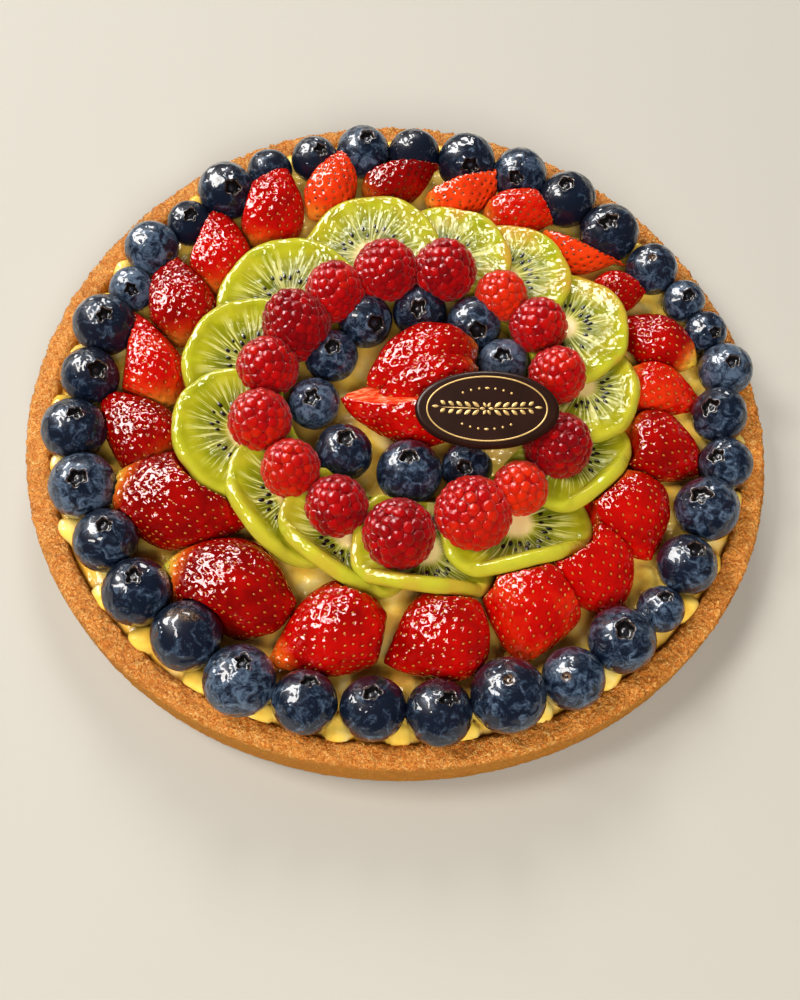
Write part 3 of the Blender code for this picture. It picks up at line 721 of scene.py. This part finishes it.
def makeKiwiFlesh():
    # Ripe kiwi: wet, half clear green flesh with pale rays from a cream core, darker round the seeds.
    material, shader, place, add = startMaterial("kiwi flesh", {
        "Roughness": 0.45, "Specular IOR Level": 0.0,
        "Subsurface Weight": 0.4, "Subsurface Scale": 0.003, "Subsurface Radius": (0.8, 1.0, 0.2),
        "Coat Weight": 1.0, "Coat Roughness": 0.025, "Coat IOR": 1.5})
    disc = add("Attribute", {}, "Vector", attribute_name="disc")
    radial = add("VectorMath", {0: disc}, "Value", operation="LENGTH")
    way = add("VectorMath", {0: disc}, operation="NORMALIZE")
    number, stain = [add("Attribute", {}, "Fac", attribute_name=name) for name in ("number", "stain")]
    depth = add("CombineXYZ", {2: add("Math", {0: radial, 1: 0.8, 2: number}, operation="MULTIPLY_ADD")})
    spoke = add("VectorMath", {0: way, 1: (7.5, 7.5, 0), 2: depth}, operation="MULTIPLY_ADD")
    rays = add("TexNoise", {"Vector": spoke, "Scale": 1.9, "Detail": 3.0, "Roughness": 0.6})
    ray = add("MapRange", {0: rays, 1: 0.5, 2: 0.58})
    inner = add("ValToRGB", {0: radial}, stops=((0.14, 0.0), (0.24, 1.0), (0.62, 0.8), (0.86, 0.0)))
    cloud = add("TexNoise", {"Vector": place, "Scale": 0.18, "Detail": 3.0})
    flesh = add("ValToRGB", {0: cloud}, stops=((0.35, kiwi["flesh"]), (0.65, kiwi["bright"])))
    seedZone = add("ValToRGB", {0: radial}, stops=((0.2, 0.0), (0.34, 1.0), (0.5, 0.8), (0.78, 0.0)))
    darker = add("Math", {0: seedZone, 1: 0.75}, operation="MULTIPLY")
    strong = add("Math", {0: inner, 1: 0.75}, operation="MULTIPLY")
    rayed = add("Math", {0: ray, 1: strong}, operation="MULTIPLY")
    core = add("MapRange", {0: radial, 1: 0.27, 2: 0.17})
    edge = add("MapRange", {0: radial, 1: 0.86, 2: 0.98, 3: 0.0, 4: 0.6})
    blots = add("TexNoise", {"Vector": place, "Scale": 0.1, "Detail": 2.0})
    blot = add("MapRange", {0: blots, 1: 0.4, 2: 0.58})
    outside = add("MapRange", {0: radial, 1: 0.55, 2: 1.0})
    stained = add("Math", {0: outside, 1: blot}, operation="MULTIPLY")
    stained = add("Math", {0: stained, 1: stain}, operation="MULTIPLY")
    colour = flesh
    for share, over in ((darker, "deep"), (rayed, "ray"), (core, "core"), (edge, "edge"), (stained, "stain")):
        colour = add("Mix", {0: share, 6: colour, 7: kiwi[over]}, 2, data_type="RGBA")
    wet = add("TexNoise", {"Vector": place, "Scale": 0.38, "Detail": 1.0, "Roughness": 0.5})
    ridges = add("Math", {0: rays, 1: inner}, operation="MULTIPLY")
    height = add("Math", {0: ridges, 1: 0.8, 2: wet}, operation="MULTIPLY_ADD")
    bump = add("Bump", {"Height": height, "Strength": 0.9, "Distance": 0.0009})
    feed(shader, {"Base Color": colour, "Coat Normal": bump})
    return material


def setKiwiSeeds(bm, cut, luck):
    # Two staggered rings of seeds round the core, with a few missing.
    half, thick = cut.half, kiwi["thick"]
    places = []
    for index in range(kiwi["seeds"]):
        angle = math.tau * (index + luck.uniform(-0.3, 0.3)) / kiwi["seeds"]
        reach = (0.35 if index % 2 else 0.44) + luck.uniform(-0.03, 0.05)
        if luck.random() < kiwi["seedsMissing"]:
            continue
        a, b = reach * half * math.cos(angle), reach * half * math.sin(angle)
        here = cut.put(a, b, thick - 0.1)
        if (here - kiwi["middle"]).xy.length < kiwi["innerEdge"]:
            continue
        out = cut.put(a * 1.03, b * 1.03, thick - 0.1) - here
        normal = (cut.put(a, b, thick + 0.5) - here).normalized()
        places.append(lieOn(here, normal, out, seedSizes(kiwi, luck, 0.35)))
    scatter(bm, seedShape(6, 0.35), 1, places)


def makeSlice(number, cut, materials):
    luck = random.Random(40 + number)
    thick, half = kiwi["thick"], cut.half
    face = [(0, thick)] + densify([(0.04, thick), (0.86, thick)], 0.045)
    edge = [(0.91, thick - 0.05), (0.95, thick - 0.25), (0.98, thick - 0.7), (0.995, thick - 1.3),
            (1.0, thick * 0.5), (0.995, 1.2), (0.975, 0.5), (0.94, 0.1), (0.85, 0.0), (0.5, 0.0), (0, 0.0)]
    bm = turned(face + edge, kiwi["steps"])
    disc = bm.verts.layers.float_vector.new("disc")
    stain, order = addLayers(bm, "stain", "number")
    facets = luck.uniform(6, 9)  # the flats that the knife left when it was peeled
    phase = luck.uniform(0, math.tau)
    for vert in bm.verts:
        angle = math.atan2(vert.co.y, vert.co.x)
        reach = vert.co.xy.length
        around = Vector((math.cos(angle), math.sin(angle), number))
        vert[disc] = Vector((vert.co.x, vert.co.y, 0))
        vert[stain] = cut.stain
        vert[order] = number * 3.7
        wave = 0.03 * abs(math.sin(facets * (angle + phase) / 2)) + 0.02 * ripple(around, 0.4)
        size = half * (0.97 + wave * reach * reach)
        a, b = vert.co.x * size, vert.co.y * size
        top = vert.co.z
        if top > thick / 2:
            wander = 3 * ripple(Vector((math.cos(angle) * 4, math.sin(angle) * 4, 0)), 1, number)
            ray = 0.5 + 0.5 * math.sin(31 * angle + wander)
            top += 0.16 * ray * max(0.0, 1 - abs(reach - 0.5) / 0.4)
            top -= 0.15 * max(0.0, 1 - abs(reach - 0.36) / 0.12)  # a shallow trough that the seeds lie in
            top += 0.25 * ripple(Vector((a, b, number * 9)), 6)
        vert.co = cut.put(a, b, top)
        inward = Vector((vert.co.x, vert.co.y, 0)) - kiwi["middle"]
        if inward.length < kiwi["innerEdge"]:
            level = vert.co.z
            vert.co = kiwi["middle"] + inward.normalized() * kiwi["innerEdge"] + up * level
    bmesh.ops.recalc_face_normals(bm, faces=bm.faces)
    setKiwiSeeds(bm, cut, luck)
    finishPiece(f"kiwi-slice-{number + 1:02}", bm, materials, "kiwi", f"kiwi-{number + 1:02}")


# Kiwi seeds: smooth, hard and black, with a wet shine.
kiwiSeed = startMaterial("kiwi seed", {
    "Base Color": kiwi["seed"], "Roughness": 0.25, "Coat Weight": 1.0, "Coat Roughness": 0.05})[0]
kiwiFlesh = makeKiwiFlesh()
slices = [Slice(row) for row in kiwiSlices]
for number, cut in enumerate(slices):
    makeSlice(number, cut, [kiwiFlesh, kiwiSeed])
print("kiwi done")


strawberry = {
    "fineness": 6, "fullness": 0.8, "mostThick": 0.62, "coreLong": 0.75,
    "seedApart": 2.75, "pitWidth": 0.7, "pitDeep": 0.45, "lipHigh": 0.12, "lipAt": 1.25, "lipWidth": 0.35,
    "seedLength": 1.05, "seedWidth": 0.6, "seedThick": 0.24,
    "deep": "780402", "red": "b00c04", "orange": "de4a18", "shoulder": "ee7c28", "unripe": "bcae46",
    "flesh": "e02c0c", "streak": "ee5a2c", "heart": "f8a078", "seed": "b9782c", "darkSeed": "341408",
}
# Angle and reach of the middle, turn of the tip from straight outward, length, width, height over the
# custard, rise of the tip, how pointed, then how orange it is, how pale its thick end (its tip where this is
# below zero), and how dark its seeds are.
strawberries = (
    (122.5, 84, -42, 31, 25, 15.5, 17, 0.70, 0.35, 0.3, 0.1),
    (107.5, 84.5, -42, 28, 18, 16, 12, 0.70, 0.8, 0.3, 0.8),
    (92, 84.5, -60, 29, 18, 16, 8, 0.70, 0.1, 0.2, 0.8),
    (77, 84, -50, 30, 18, 16, 8, 0.70, 0.85, 0.4, 0.9),
    (62.5, 84.5, -52, 30, 17, 15, 8, 0.66, 0.55, 0.3, 0.5),
    (47, 84.5, -57, 30, 18, 15, 6, 0.66, 0.85, 0.2, 0.9),
    (34, 82.5, -10, 20, 14, 13, 4, 0.70, 0.25, 0.2, 0.2),
    (20, 84, 128, 28, 18, 13, 0, 0.85, 0.2, 0.8, 0.1),
    (8, 81.5, -25, 25, 18, 11, -4, 0.66, 0.6, 0.3, 0.1),
    (-6.5, 80.5, -18, 29, 22, 13, -6, 0.70, 0.15, 0.2, 0.0),
    (-24.5, 76, -40, 28, 26, 15, -8, 0.76, 0.3, 0.2, 0.0),
    (-40, 75.5, -18, 31, 28, 15, -8, 0.74, 0.35, 0.2, 0.0),
    (-57, 74, -42, 32, 28, 16, -10, 0.72, 0.45, -0.3, 0.0),
    (-78.5, 73.5, -75, 32, 27, 16, -8, 0.76, 0.3, 0.0, 0.0),
    (-102.5, 75, -50, 35, 27, 16, -10, 0.64, 0.3, -1.0, 0.0),
    (-125, 75.5, 107, 43, 30, 18, 0, 0.95, 0.1, 1.0, 0.0),
    (-149.5, 71, 135, 43, 29, 18, 0, 0.90, 0.1, 1.0, 0.0),
    (-171, 78, -55, 31, 22, 14, 4, 0.70, 0.05, 0.2, 0.1),
    (171.5, 78, -60, 34, 21, 14, 6, 0.68, 0.45, 0.3, 0.1),
    (154.5, 78, -50, 32, 24, 14, 8, 0.70, 0.15, 0.2, 0.2),
    (139, 81, -46, 31, 25, 14, 10, 0.70, 0.35, 0.2, 0.1),
)


class Lying:
    # Where a long fruit lies: its middle, the way its tip points, and its half sizes.
    def __init__(self, angle, reach, turn, length, width, height, rise):
        self.half = Vector((width / 2, min(width / 2, height * strawberry["mostThick"]), length / 2))
        self.middle = spot(angle, reach, fruitFloor + height - self.half.y)
        heading = math.radians(angle + turn)
        lie = Matrix.Rotation(heading, 4, "Z") @ Matrix.Rotation(-math.radians(rise), 4, "Y")
        upright = Matrix(((0, 0, 1, 0), (1, 0, 0, 0), (0, 1, 0, 0), (0, 0, 0, 1)))
        self.placement = Matrix.Translation(self.middle) @ lie @ upright
        self.along = spot(math.degrees(heading), 1)
        self.across = spot(math.degrees(heading) + 90, 1)

    def widthTowards(self, way):
        return 1 / math.hypot(way.dot(self.along) / self.half.z, way.dot(self.across) / self.half.x)

    def slope(self, way):
        return (self.along * way.dot(self.along) / self.half.z ** 2
                + self.across * way.dot(self.across) / self.half.x ** 2)

    def pressOn(self, bm, other):
        # Two fruits that touch share one flat between them.
        way = other.middle - self.middle
        way.z = 0
        apart = way.length
        way.normalize()
        own, others = self.widthTowards(way), other.widthTowards(way)
        normal = (self.slope(way) + other.slope(way)).normalized()
        pressFlat(bm, self.middle + way * apart * own / (own + others), normal, 0.5)


def plumpFruit(fruit, pointed, seed):
    # A strawberry's body, uneven as real ones are, in place and set down in the custard.
    bm = bmesh.new()
    bmesh.ops.create_icosphere(bm, subdivisions=strawberry["fineness"], radius=1)
    along, _ = addLayers(bm, "along", "cut")
    for vert in bm.verts:
        vert[along] = (vert.co.z + 1) / 2
        flat = vert.co.xy.length
        if flat > 0.0001:
            vert.co.xy *= plumpRadius(vert[along], pointed, strawberry["fullness"]) / flat
        lump = 1 + 0.07 * ripple(vert.co, 0.9, seed) + 0.03 * ripple(vert.co, 0.4, seed + 5)
        vert.co = vert.co * fruit.half * lump
    bmesh.ops.transform(bm, matrix=fruit.placement, verts=bm.verts)
    pressFlat(bm, Vector((0, 0, fruitFoot)), -up, 0.3)
    return bm


def setSeeds(bm, fruit, pointed, dark, luck):
    # Sinks a dimple with a raised lip for each seed, on the spiral that they grow in, and lays the seed in.
    bm.normal_update()
    verts = list(bm.verts)
    near = nearest([vert.co for vert in verts])
    cutLayer = bm.verts.layers.float["cut"]
    area = math.pi * (fruit.half.x + fruit.half.y) * fruit.half.z * 1.35
    count = int(area / (evenArea * strawberry["seedApart"] ** 2))
    places = []
    for i, along in enumerate(spiral(count, pointed, strawberry["fullness"], 0.12)):
        angle = i * goldenAngle + luck.uniform(-0.08, 0.08)
        radius = plumpRadius(along, pointed, strawberry["fullness"])
        ideal = Vector((radius * math.cos(angle), radius * math.sin(angle), 2 * along - 1)) * fruit.half
        _, index, away = near.find(fruit.placement @ ideal)
        vert = verts[index]
        if away < 2.5 and vert.normal.z > -0.3 and vert[cutLayer] < 0.3 and vert.co.z > fruitFloor:
            places.append((vert.co.copy(), vert.normal.copy()))
    if not places:
        return
    pits = nearest([co for co, _ in places])
    wide, deep, lip = strawberry["pitWidth"], strawberry["pitDeep"], strawberry["lipHigh"]
    for vert in verts:
        _, _, away = pits.find(vert.co)
        if away < 2.2 and vert[cutLayer] < 0.5:
            raised = lip * math.exp(-((away - strawberry["lipAt"]) / strawberry["lipWidth"]) ** 2)
            vert.co -= vert.normal * (deep * math.exp(-(away / wide) ** 2) - raised)
    tip = fruit.placement.to_3x3() @ up
    stands, shades = [], []
    for co, normal in places:
        sizes = seedSizes(strawberry, luck, strawberry["seedThick"])
        stands.append(lieOn(co - normal * (deep - 0.1), normal, tip, sizes))
        shades.append(clamp(dark + luck.uniform(-0.25, 0.25)))
    scatter(bm, seedShape(4, 0.4), 1, stands, "dark", shades)


def makeStrawberrySkin():
    # Strawberry skin under clear glaze: wet and juicy, red to orange, and paler towards the thick end.
    material, shader, place, add = startMaterial("strawberry skin", {
        "Roughness": 0.5, "Specular IOR Level": 0.0,
        "Subsurface Weight": 0.2, "Subsurface Scale": 0.002, "Subsurface Radius": (1.0, 0.08, 0.04),
        "Coat Weight": 1.0, "Coat Roughness": 0.02, "Coat IOR": 1.55})
    cloud = add("TexNoise", {"Vector": place, "Scale": 0.11, "Detail": 3.0})
    cloud = add("Math", {0: cloud, 1: 0.5}, operation="SUBTRACT")
    orange, along, pale, paleTip, cut = [add("Attribute", {}, "Fac", attribute_name=name)
                                         for name in ("orange", "along", "pale", "paleTip", "cut")]
    hue = add("Math", {0: cloud, 1: 0.9, 2: orange}, operation="MULTIPLY_ADD")
    colour = add("ValToRGB", {0: hue}, stops=(
        (0.0, strawberry["deep"]), (0.42, strawberry["red"]), (0.95, strawberry["orange"])))
    thickEnd = add("Math", {0: add("MapRange", {0: along, 1: 0.2, 2: 0.04}), 1: pale}, operation="MULTIPLY")
    tip = add("MapRange", {0: along, 1: 0.78, 2: 1.0})
    end = add("Math", {0: tip, 1: paleTip, 2: thickEnd}, operation="MULTIPLY_ADD")
    last = add("Math", {0: add("MapRange", {0: along, 1: 0.12, 2: 0.03}), 1: pale}, operation="MULTIPLY")
    fibre = add("VectorMath", {0: place, 1: (0.12, 0.9, 0.9)}, operation="MULTIPLY")
    streak = add("TexNoise", {"Vector": fibre, "Scale": 1.0, "Detail": 3.0, "Distortion": 0.8})
    inside = add("ValToRGB", {0: streak}, stops=(
        (0.36, strawberry["flesh"]), (0.5, strawberry["streak"]), (0.66, strawberry["heart"])))
    for share, over in ((end, strawberry["shoulder"]), (last, strawberry["unripe"]), (cut, inside)):
        colour = add("Mix", {0: share, 6: colour, 7: over}, 2, data_type="RGBA")
    glaze = add("TexNoise", {
        "Vector": place, "Scale": 0.4, "Detail": 1.0, "Roughness": 0.4, "Distortion": 0.5})
    bump = add("Bump", {"Height": glaze, "Strength": 1.0, "Distance": 0.0006})
    feed(shader, {"Base Color": colour, "Coat Normal": bump})
    return material


def makeStrawberrySeed():
    # Strawberry seeds: dry, hard and golden under the glaze, brown on the fruit that ripened first.
    material, shader, _, add = startMaterial("strawberry seed", {
        "Roughness": 0.35, "Coat Weight": 1.0, "Coat Roughness": 0.05})
    dark = add("Attribute", {}, "Fac", attribute_name="dark")
    colour = add("Mix", {0: dark, 6: strawberry["seed"], 7: strawberry["darkSeed"]}, 2, data_type="RGBA")
    feed(shader, {"Base Color": colour})
    return material


def tint(bm, orange, pale):
    for name, value in (("orange", orange), ("pale", max(pale, 0.0)), ("paleTip", max(-pale, 0.0))):
        layer = bm.verts.layers.float.new(name)
        for vert in bm.verts:
            vert[layer] = value


def keepUnder(bm, close):
    # Lowers what would come through the kiwi slices that lie on the fruit.
    for vert in bm.verts:
        if vert.co.z > fruitFloor + 1:
            for cut in close:
                level = cut.underside(vert.co)
                if level is not None and vert.co.z > level - touch:
                    vert.co.z = max(level - touch, fruitFloor)


strawberryLook = [makeStrawberrySkin(), makeStrawberrySeed()]
lyingRing = [Lying(*row[:7]) for row in strawberries]
for number, (fruit, row) in enumerate(zip(lyingRing, strawberries)):
    pointed, orange, pale, dark = row[7:]
    bm = plumpFruit(fruit, pointed, number * 4.1)
    fruit.pressOn(bm, lyingRing[number - 1])
    fruit.pressOn(bm, lyingRing[(number + 1) % len(lyingRing)])
    tip = fruit.placement.to_3x3() @ up
    for centre, diameter in outerRing:
        along = max(-1.0, min(1.0, (centre - fruit.middle).dot(tip) / fruit.half.z))
        core = fruit.middle + tip * along * fruit.half.z * strawberry["coreLong"]
        leanOn(bm, centre, diameter / 2 + touch, core)
    keepUnder(bm, [cut for cut in slices if (cut.edge - fruit.middle).xy.length < kiwi["near"]])
    setSeeds(bm, fruit, pointed, dark, random.Random(200 + number))
    tint(bm, orange, pale)
    name = f"{number + 1:02}"
    finishPiece(f"strawberry-whole-{name}", bm, strawberryLook, "strawberry", f"strawberry-{name}")
print("strawberries done")


raspberry = {
    "pointed": 0.8, "fullness": 0.57, "apart": 3.2, "size": 0.6, "tall": 0.72, "sunk": 0.08,
    "coreSteps": (24, 16), "drupeletSteps": (10, 7),
    "deep": "7c0810", "red": "a80e10", "orange": "c6300e",
}
# Angle, reach, width, length, height of the top over the custard, lean outward, and how orange it is.
raspberries = (
    (98, 43.2, 19.5, 18.5, 25.5, 8, 0.25), (74.5, 45.5, 19, 19, 26, 8, 0.2),
    (51, 47.5, 15.5, 15, 22, 5, 0.9),
    (33, 49.5, 17, 17.5, 23, 5, 0.3), (11, 48, 16.5, 18.5, 25, 15, 0.5), (-16, 49.5, 19.5, 22, 25, 20, 0.1),
    (-38, 46, 15.5, 16, 23, 0, 0.9), (-58, 43.5, 21.5, 20, 25, 0, 0.55), (-87, 44.5, 20, 20, 25, 0, 0.2),
    (-113, 40, 17.5, 17, 23, 0, 0.2), (-138.5, 39.5, 16.5, 18, 24, 0, 0.55),
    (-164, 41.5, 18, 19, 25, 5, 0.45),
    (170, 40, 18, 18.5, 24, 5, 0.35), (146, 39, 20, 24, 27, 20, 0.05), (121.5, 40.5, 18, 20, 25, 8, 0.35),
)


def makeRaspberryFlesh():
    # Raspberry drupelets: thin clear skin over juice, with a fine down that pales the edges.
    material, shader, place, add = startMaterial("raspberry drupelets", {
        "Roughness": 0.5, "Specular IOR Level": 0.0, "Subsurface Weight": 0.5, "Subsurface Scale": 0.0018,
        "Subsurface Radius": (1.0, 0.1, 0.08), "Coat Weight": 1.0, "Coat Roughness": 0.03, "Coat IOR": 1.5,
        "Sheen Weight": 0.25, "Sheen Roughness": 0.35, "Sheen Tint": "ffd5cf"})
    cloud = add("TexNoise", {"Vector": place, "Scale": 0.14, "Detail": 2.0})
    cloud = add("Math", {0: cloud, 1: 0.5}, operation="SUBTRACT")
    orange = add("Attribute", {}, "Fac", attribute_name="orange")
    hue = add("Math", {0: cloud, 1: 0.5, 2: orange}, operation="MULTIPLY_ADD")
    colour = add("ValToRGB", {0: hue}, stops=(
        (0.0, raspberry["deep"]), (0.4, raspberry["red"]), (1.0, raspberry["orange"])))
    wet = add("TexNoise", {"Vector": place, "Scale": 1.5, "Detail": 3.0})
    bump = add("Bump", {"Height": wet, "Strength": 0.6, "Distance": 0.0003})
    feed(shader, {"Base Color": colour, "Coat Normal": bump})
    return material


def makeRaspberry(number, row, material):
    luck = random.Random(500 + number)
    angle, reach, width, tall, height, lean, orange = row
    middle = spot(angle, reach, custardTop + height - tall / 2)
    stand = Matrix.Translation(middle) @ Matrix.Rotation(math.radians(lean), 4, spot(angle + 90, 1))
    pointed, fullness = raspberry["pointed"], raspberry["fullness"]

    def surface(along, turn):
        radius = plumpRadius(along, pointed, fullness) * (width / 2 - 0.7)
        return Vector((radius * math.cos(turn), radius * math.sin(turn), (along - 0.5) * (tall - 1.4)))

    bm = bmesh.new()
    shade = bm.verts.layers.float.new("orange")
    around, upward = raspberry["coreSteps"]
    for vert in bmesh.ops.create_uvsphere(bm, u_segments=around, v_segments=upward, radius=1)["verts"]:
        vert.co = surface((vert.co.z + 1) / 2, math.atan2(vert.co.y, vert.co.x)) * 0.97
        # The core shows only in the gaps between the drupelets and is painted a deeper red there, as painted
        # shade.
        vert[shade] = orange * 0.5
    count = int(math.pi * width * tall * 0.93 / (evenArea * raspberry["apart"] ** 2))
    places, shades = [], []
    for i, along in enumerate(spiral(count, pointed, fullness, 0.06)):
        turn = i * goldenAngle + luck.uniform(-0.06, 0.06)
        here = surface(along, turn)
        if (stand @ here).z < custardTop - 1:
            continue
        ahead = surface(min(along + 0.02, 1), turn) - surface(max(along - 0.02, 0), turn)
        side = surface(along, turn + 0.05) - surface(along, turn - 0.05)
        normal = side.cross(ahead).normalized() if side.length > 0.01 else up
        size = raspberry["apart"] * raspberry["size"] * luck.uniform(0.9, 1.12)
        sizes = (size * luck.uniform(0.98, 1.12), size * luck.uniform(0.95, 1.08), size * raspberry["tall"])
        places.append(lieOn(here - normal * size * raspberry["sunk"], normal, ahead, sizes))
        shades.append(clamp(orange + luck.uniform(-0.18, 0.18)))
    drupelet = bmesh.new()
    around, upward = raspberry["drupeletSteps"]
    bmesh.ops.create_uvsphere(drupelet, u_segments=around, v_segments=upward, radius=1)
    scatter(bm, drupelet, 0, places, "orange", shades)
    bmesh.ops.transform(bm, matrix=stand, verts=bm.verts)
    name = f"{number + 1:02}"
    finishPiece(f"raspberry-whole-{name}", bm, [material], "raspberry", f"raspberry-{name}")


raspberryFlesh = makeRaspberryFlesh()
for number, row in enumerate(raspberries):
    makeRaspberry(number, row, raspberryFlesh)
print("raspberries done")


# The strawberry in the middle is cut into slices that fan apart.
fan = {
    "pointed": 0.82, "orange": 0.3, "pale": 0.2,
    # place of each slice, its length, width and height over the custard, and the angle of its tip
    "slices": (
        (Vector((6.5, 12.0, 0)), 37, 23, 23, 206), (Vector((9.0, 5.0, 0)), 31, 18, 23, 200),
        (Vector((2.5, -3.0, 0)), 40, 20, 19, 172)),
    "cutSlice": 2, "cutSoft": 0.15,
    "cutAt": Vector((-11.0, -4.1, 29.9)), "cutFacing": Vector((-0.27, 0.58, 1.0)).normalized(),
}


def makeFan():
    whole = bmesh.new()
    for number, (place, length, width, height, heading) in enumerate(fan["slices"]):
        fruit = Lying(0, 0, heading, length, width, height, 0)
        fruit.placement = Matrix.Translation(place) @ fruit.placement
        fruit.middle = fruit.placement.translation
        bm = plumpFruit(fruit, fan["pointed"], 300 + number * 3)
        for centre, diameter in innerRing:
            leanOn(bm, centre, diameter / 2 + touch, fruit.middle)
        if number == fan["cutSlice"]:
            cut = bm.verts.layers.float["cut"]
            pressFlat(bm, fan["cutAt"], fan["cutFacing"], fan["cutSoft"], cut)
        setSeeds(bm, fruit, fan["pointed"], 0.0, random.Random(700 + number))
        tint(bm, fan["orange"], fan["pale"])
        joinIn(whole, bm)
    finishPiece("strawberry-fan", whole, strawberryLook, "cut_strawberry", "strawberry-middle")


makeFan()
print("middle strawberry done")


plaque = {
    "middle": Vector((25.4, -9.2, 39.7)), "length": 41.0, "width": 22.9, "thick": 3.2, "bevel": 1.2,
    "tip": 14, "roll": -5, "ring": 0.84, "ringWide": 0.45, "ringHigh": 0.12, "leafHigh": 0.16,
    "chocolate": "28160f", "warmChocolate": "301b14", "gold": "c2a36a",
}


def makeChocolate():
    # Moulded dark chocolate: fine and satin, so that it takes a soft wide highlight.
    material, shader, place, add = startMaterial("dark chocolate", {
        "Roughness": 0.3, "Specular IOR Level": 0.3})
    cloud = add("TexNoise", {"Vector": place, "Scale": 0.15, "Detail": 3.0})
    tone = add("ValToRGB", {0: cloud}, stops=((0.35, plaque["chocolate"]), (0.7, plaque["warmChocolate"])))
    fine = add("TexNoise", {"Vector": place, "Scale": 1.2, "Detail": 3.0})
    bump = add("Bump", {"Height": fine, "Strength": 0.15, "Distance": 0.0002})
    feed(shader, {"Base Color": tone, "Normal": bump})
    return material


def makeOval(stand):
    bm = bmesh.new()
    bmesh.ops.create_cone(bm, cap_ends=True, segments=96, radius1=0.5, radius2=0.5, depth=1)
    bmesh.ops.scale(bm, vec=(plaque["length"], plaque["width"], plaque["thick"]), verts=bm.verts)
    rims = [edge for edge in bm.edges if abs(edge.verts[0].co.z - edge.verts[1].co.z) < 0.01]
    bmesh.ops.bevel(bm, geom=rims, offset=plaque["bevel"], segments=5, affect="EDGES", profile=0.5,
                    material=-1)
    bmesh.ops.transform(bm, matrix=stand, verts=bm.verts)
    piece = finishPiece("plaque-oval", bm, [makeChocolate()], "chocolate", "plaque")
    for polygon in piece.data.polygons:
        polygon.use_smooth = len(polygon.vertices) <= 8  # its two faces are flat


def addLeaf(bm, onTop, x, y, turnBy, length, width):
    made = bmesh.ops.create_cone(bm, cap_ends=True, segments=20, radius1=0.5, radius2=0.42,
                                 depth=plaque["leafHigh"])["verts"]
    for vert in made:
        vert.co.y *= (1 - (vert.co.x * 2) ** 2 * 0.55)  # narrows it to both ends
    lie = Matrix.Translation((x, y, plaque["leafHigh"] / 2)) @ Matrix.Rotation(math.radians(turnBy), 4, "Z")
    bmesh.ops.transform(bm, matrix=onTop @ lie @ Matrix.Diagonal((length, width, 1, 1)), verts=made)


def addRing(bm, onTop):
    outline = bmesh.new()
    radius = 0.5 * plaque["ring"]
    for wide in (0, plaque["ringWide"]):
        for vert in bmesh.ops.create_circle(outline, cap_ends=False, segments=96, radius=radius)["verts"]:
            way = Vector((vert.co.x, vert.co.y, 0)).normalized()
            vert.co = Vector((vert.co.x * plaque["length"], vert.co.y * plaque["width"], 0)) - way * wide
    bmesh.ops.bridge_loops(outline, edges=outline.edges[:])
    grown = bmesh.ops.extrude_face_region(outline, geom=outline.faces[:])["geom"]
    raised = [vert for vert in grown if isinstance(vert, bmesh.types.BMVert)]
    bmesh.ops.translate(outline, vec=(0, 0, plaque["ringHigh"]), verts=raised)
    bmesh.ops.recalc_face_normals(outline, faces=outline.faces)
    bmesh.ops.transform(outline, matrix=onTop @ Matrix.Translation((0, 0, 0.005)), verts=outline.verts)
    joinIn(bm, outline)


def makeOrnament(stand):
    # Two leafy sprigs, a flower between them and a row of dots above and below, inside an oval ring.
    # Gold print: a thin matt layer with a faint metal glint.
    gold = startMaterial("gold print", {
        "Base Color": plaque["gold"], "Roughness": 0.45, "Metallic": 0.35})[0]
    onTop = stand @ Matrix.Translation((0, 0, plaque["thick"] / 2))
    bm = bmesh.new()
    addRing(bm, onTop)
    leaf = functools.partial(addLeaf, bm, onTop)
    for side in (-1, 1):
        for step in range(5):
            x, bend = side * (3.1 + 2.35 * step), 0.03 * step * step
            for row in (1, -1):
                leaf(x, bend + row * 1.15, row * side * 38, 2.7 - 0.2 * step, 1.15)
        leaf(side * 14.6, 0.5, 0, 2.2, 0.9)
        leaf(side * 7.4, 0.12, side * 1.5, 12.0, 0.42)
    for step in range(6):
        petal = spot(step * 60, 1.25)
        leaf(petal.x, petal.y, step * 60, 1.7, 0.95)
    for step in range(-3, 4):
        for row in (1, -1):
            leaf(step * 2.3, row * (6.0 - 0.16 * step * step), 0, 0.8 if step else 1.5, 0.8)
    finishPiece("plaque-ornament", bm, [gold], "chocolate")


roll = Matrix.Rotation(math.radians(plaque["roll"]), 4, "Y")
tip = Matrix.Rotation(math.radians(plaque["tip"]), 4, "X")
plaqueStand = Matrix.Translation(plaque["middle"]) @ roll @ tip
makeOval(plaqueStand)
makeOrnament(plaqueStand)
print("plaque done")
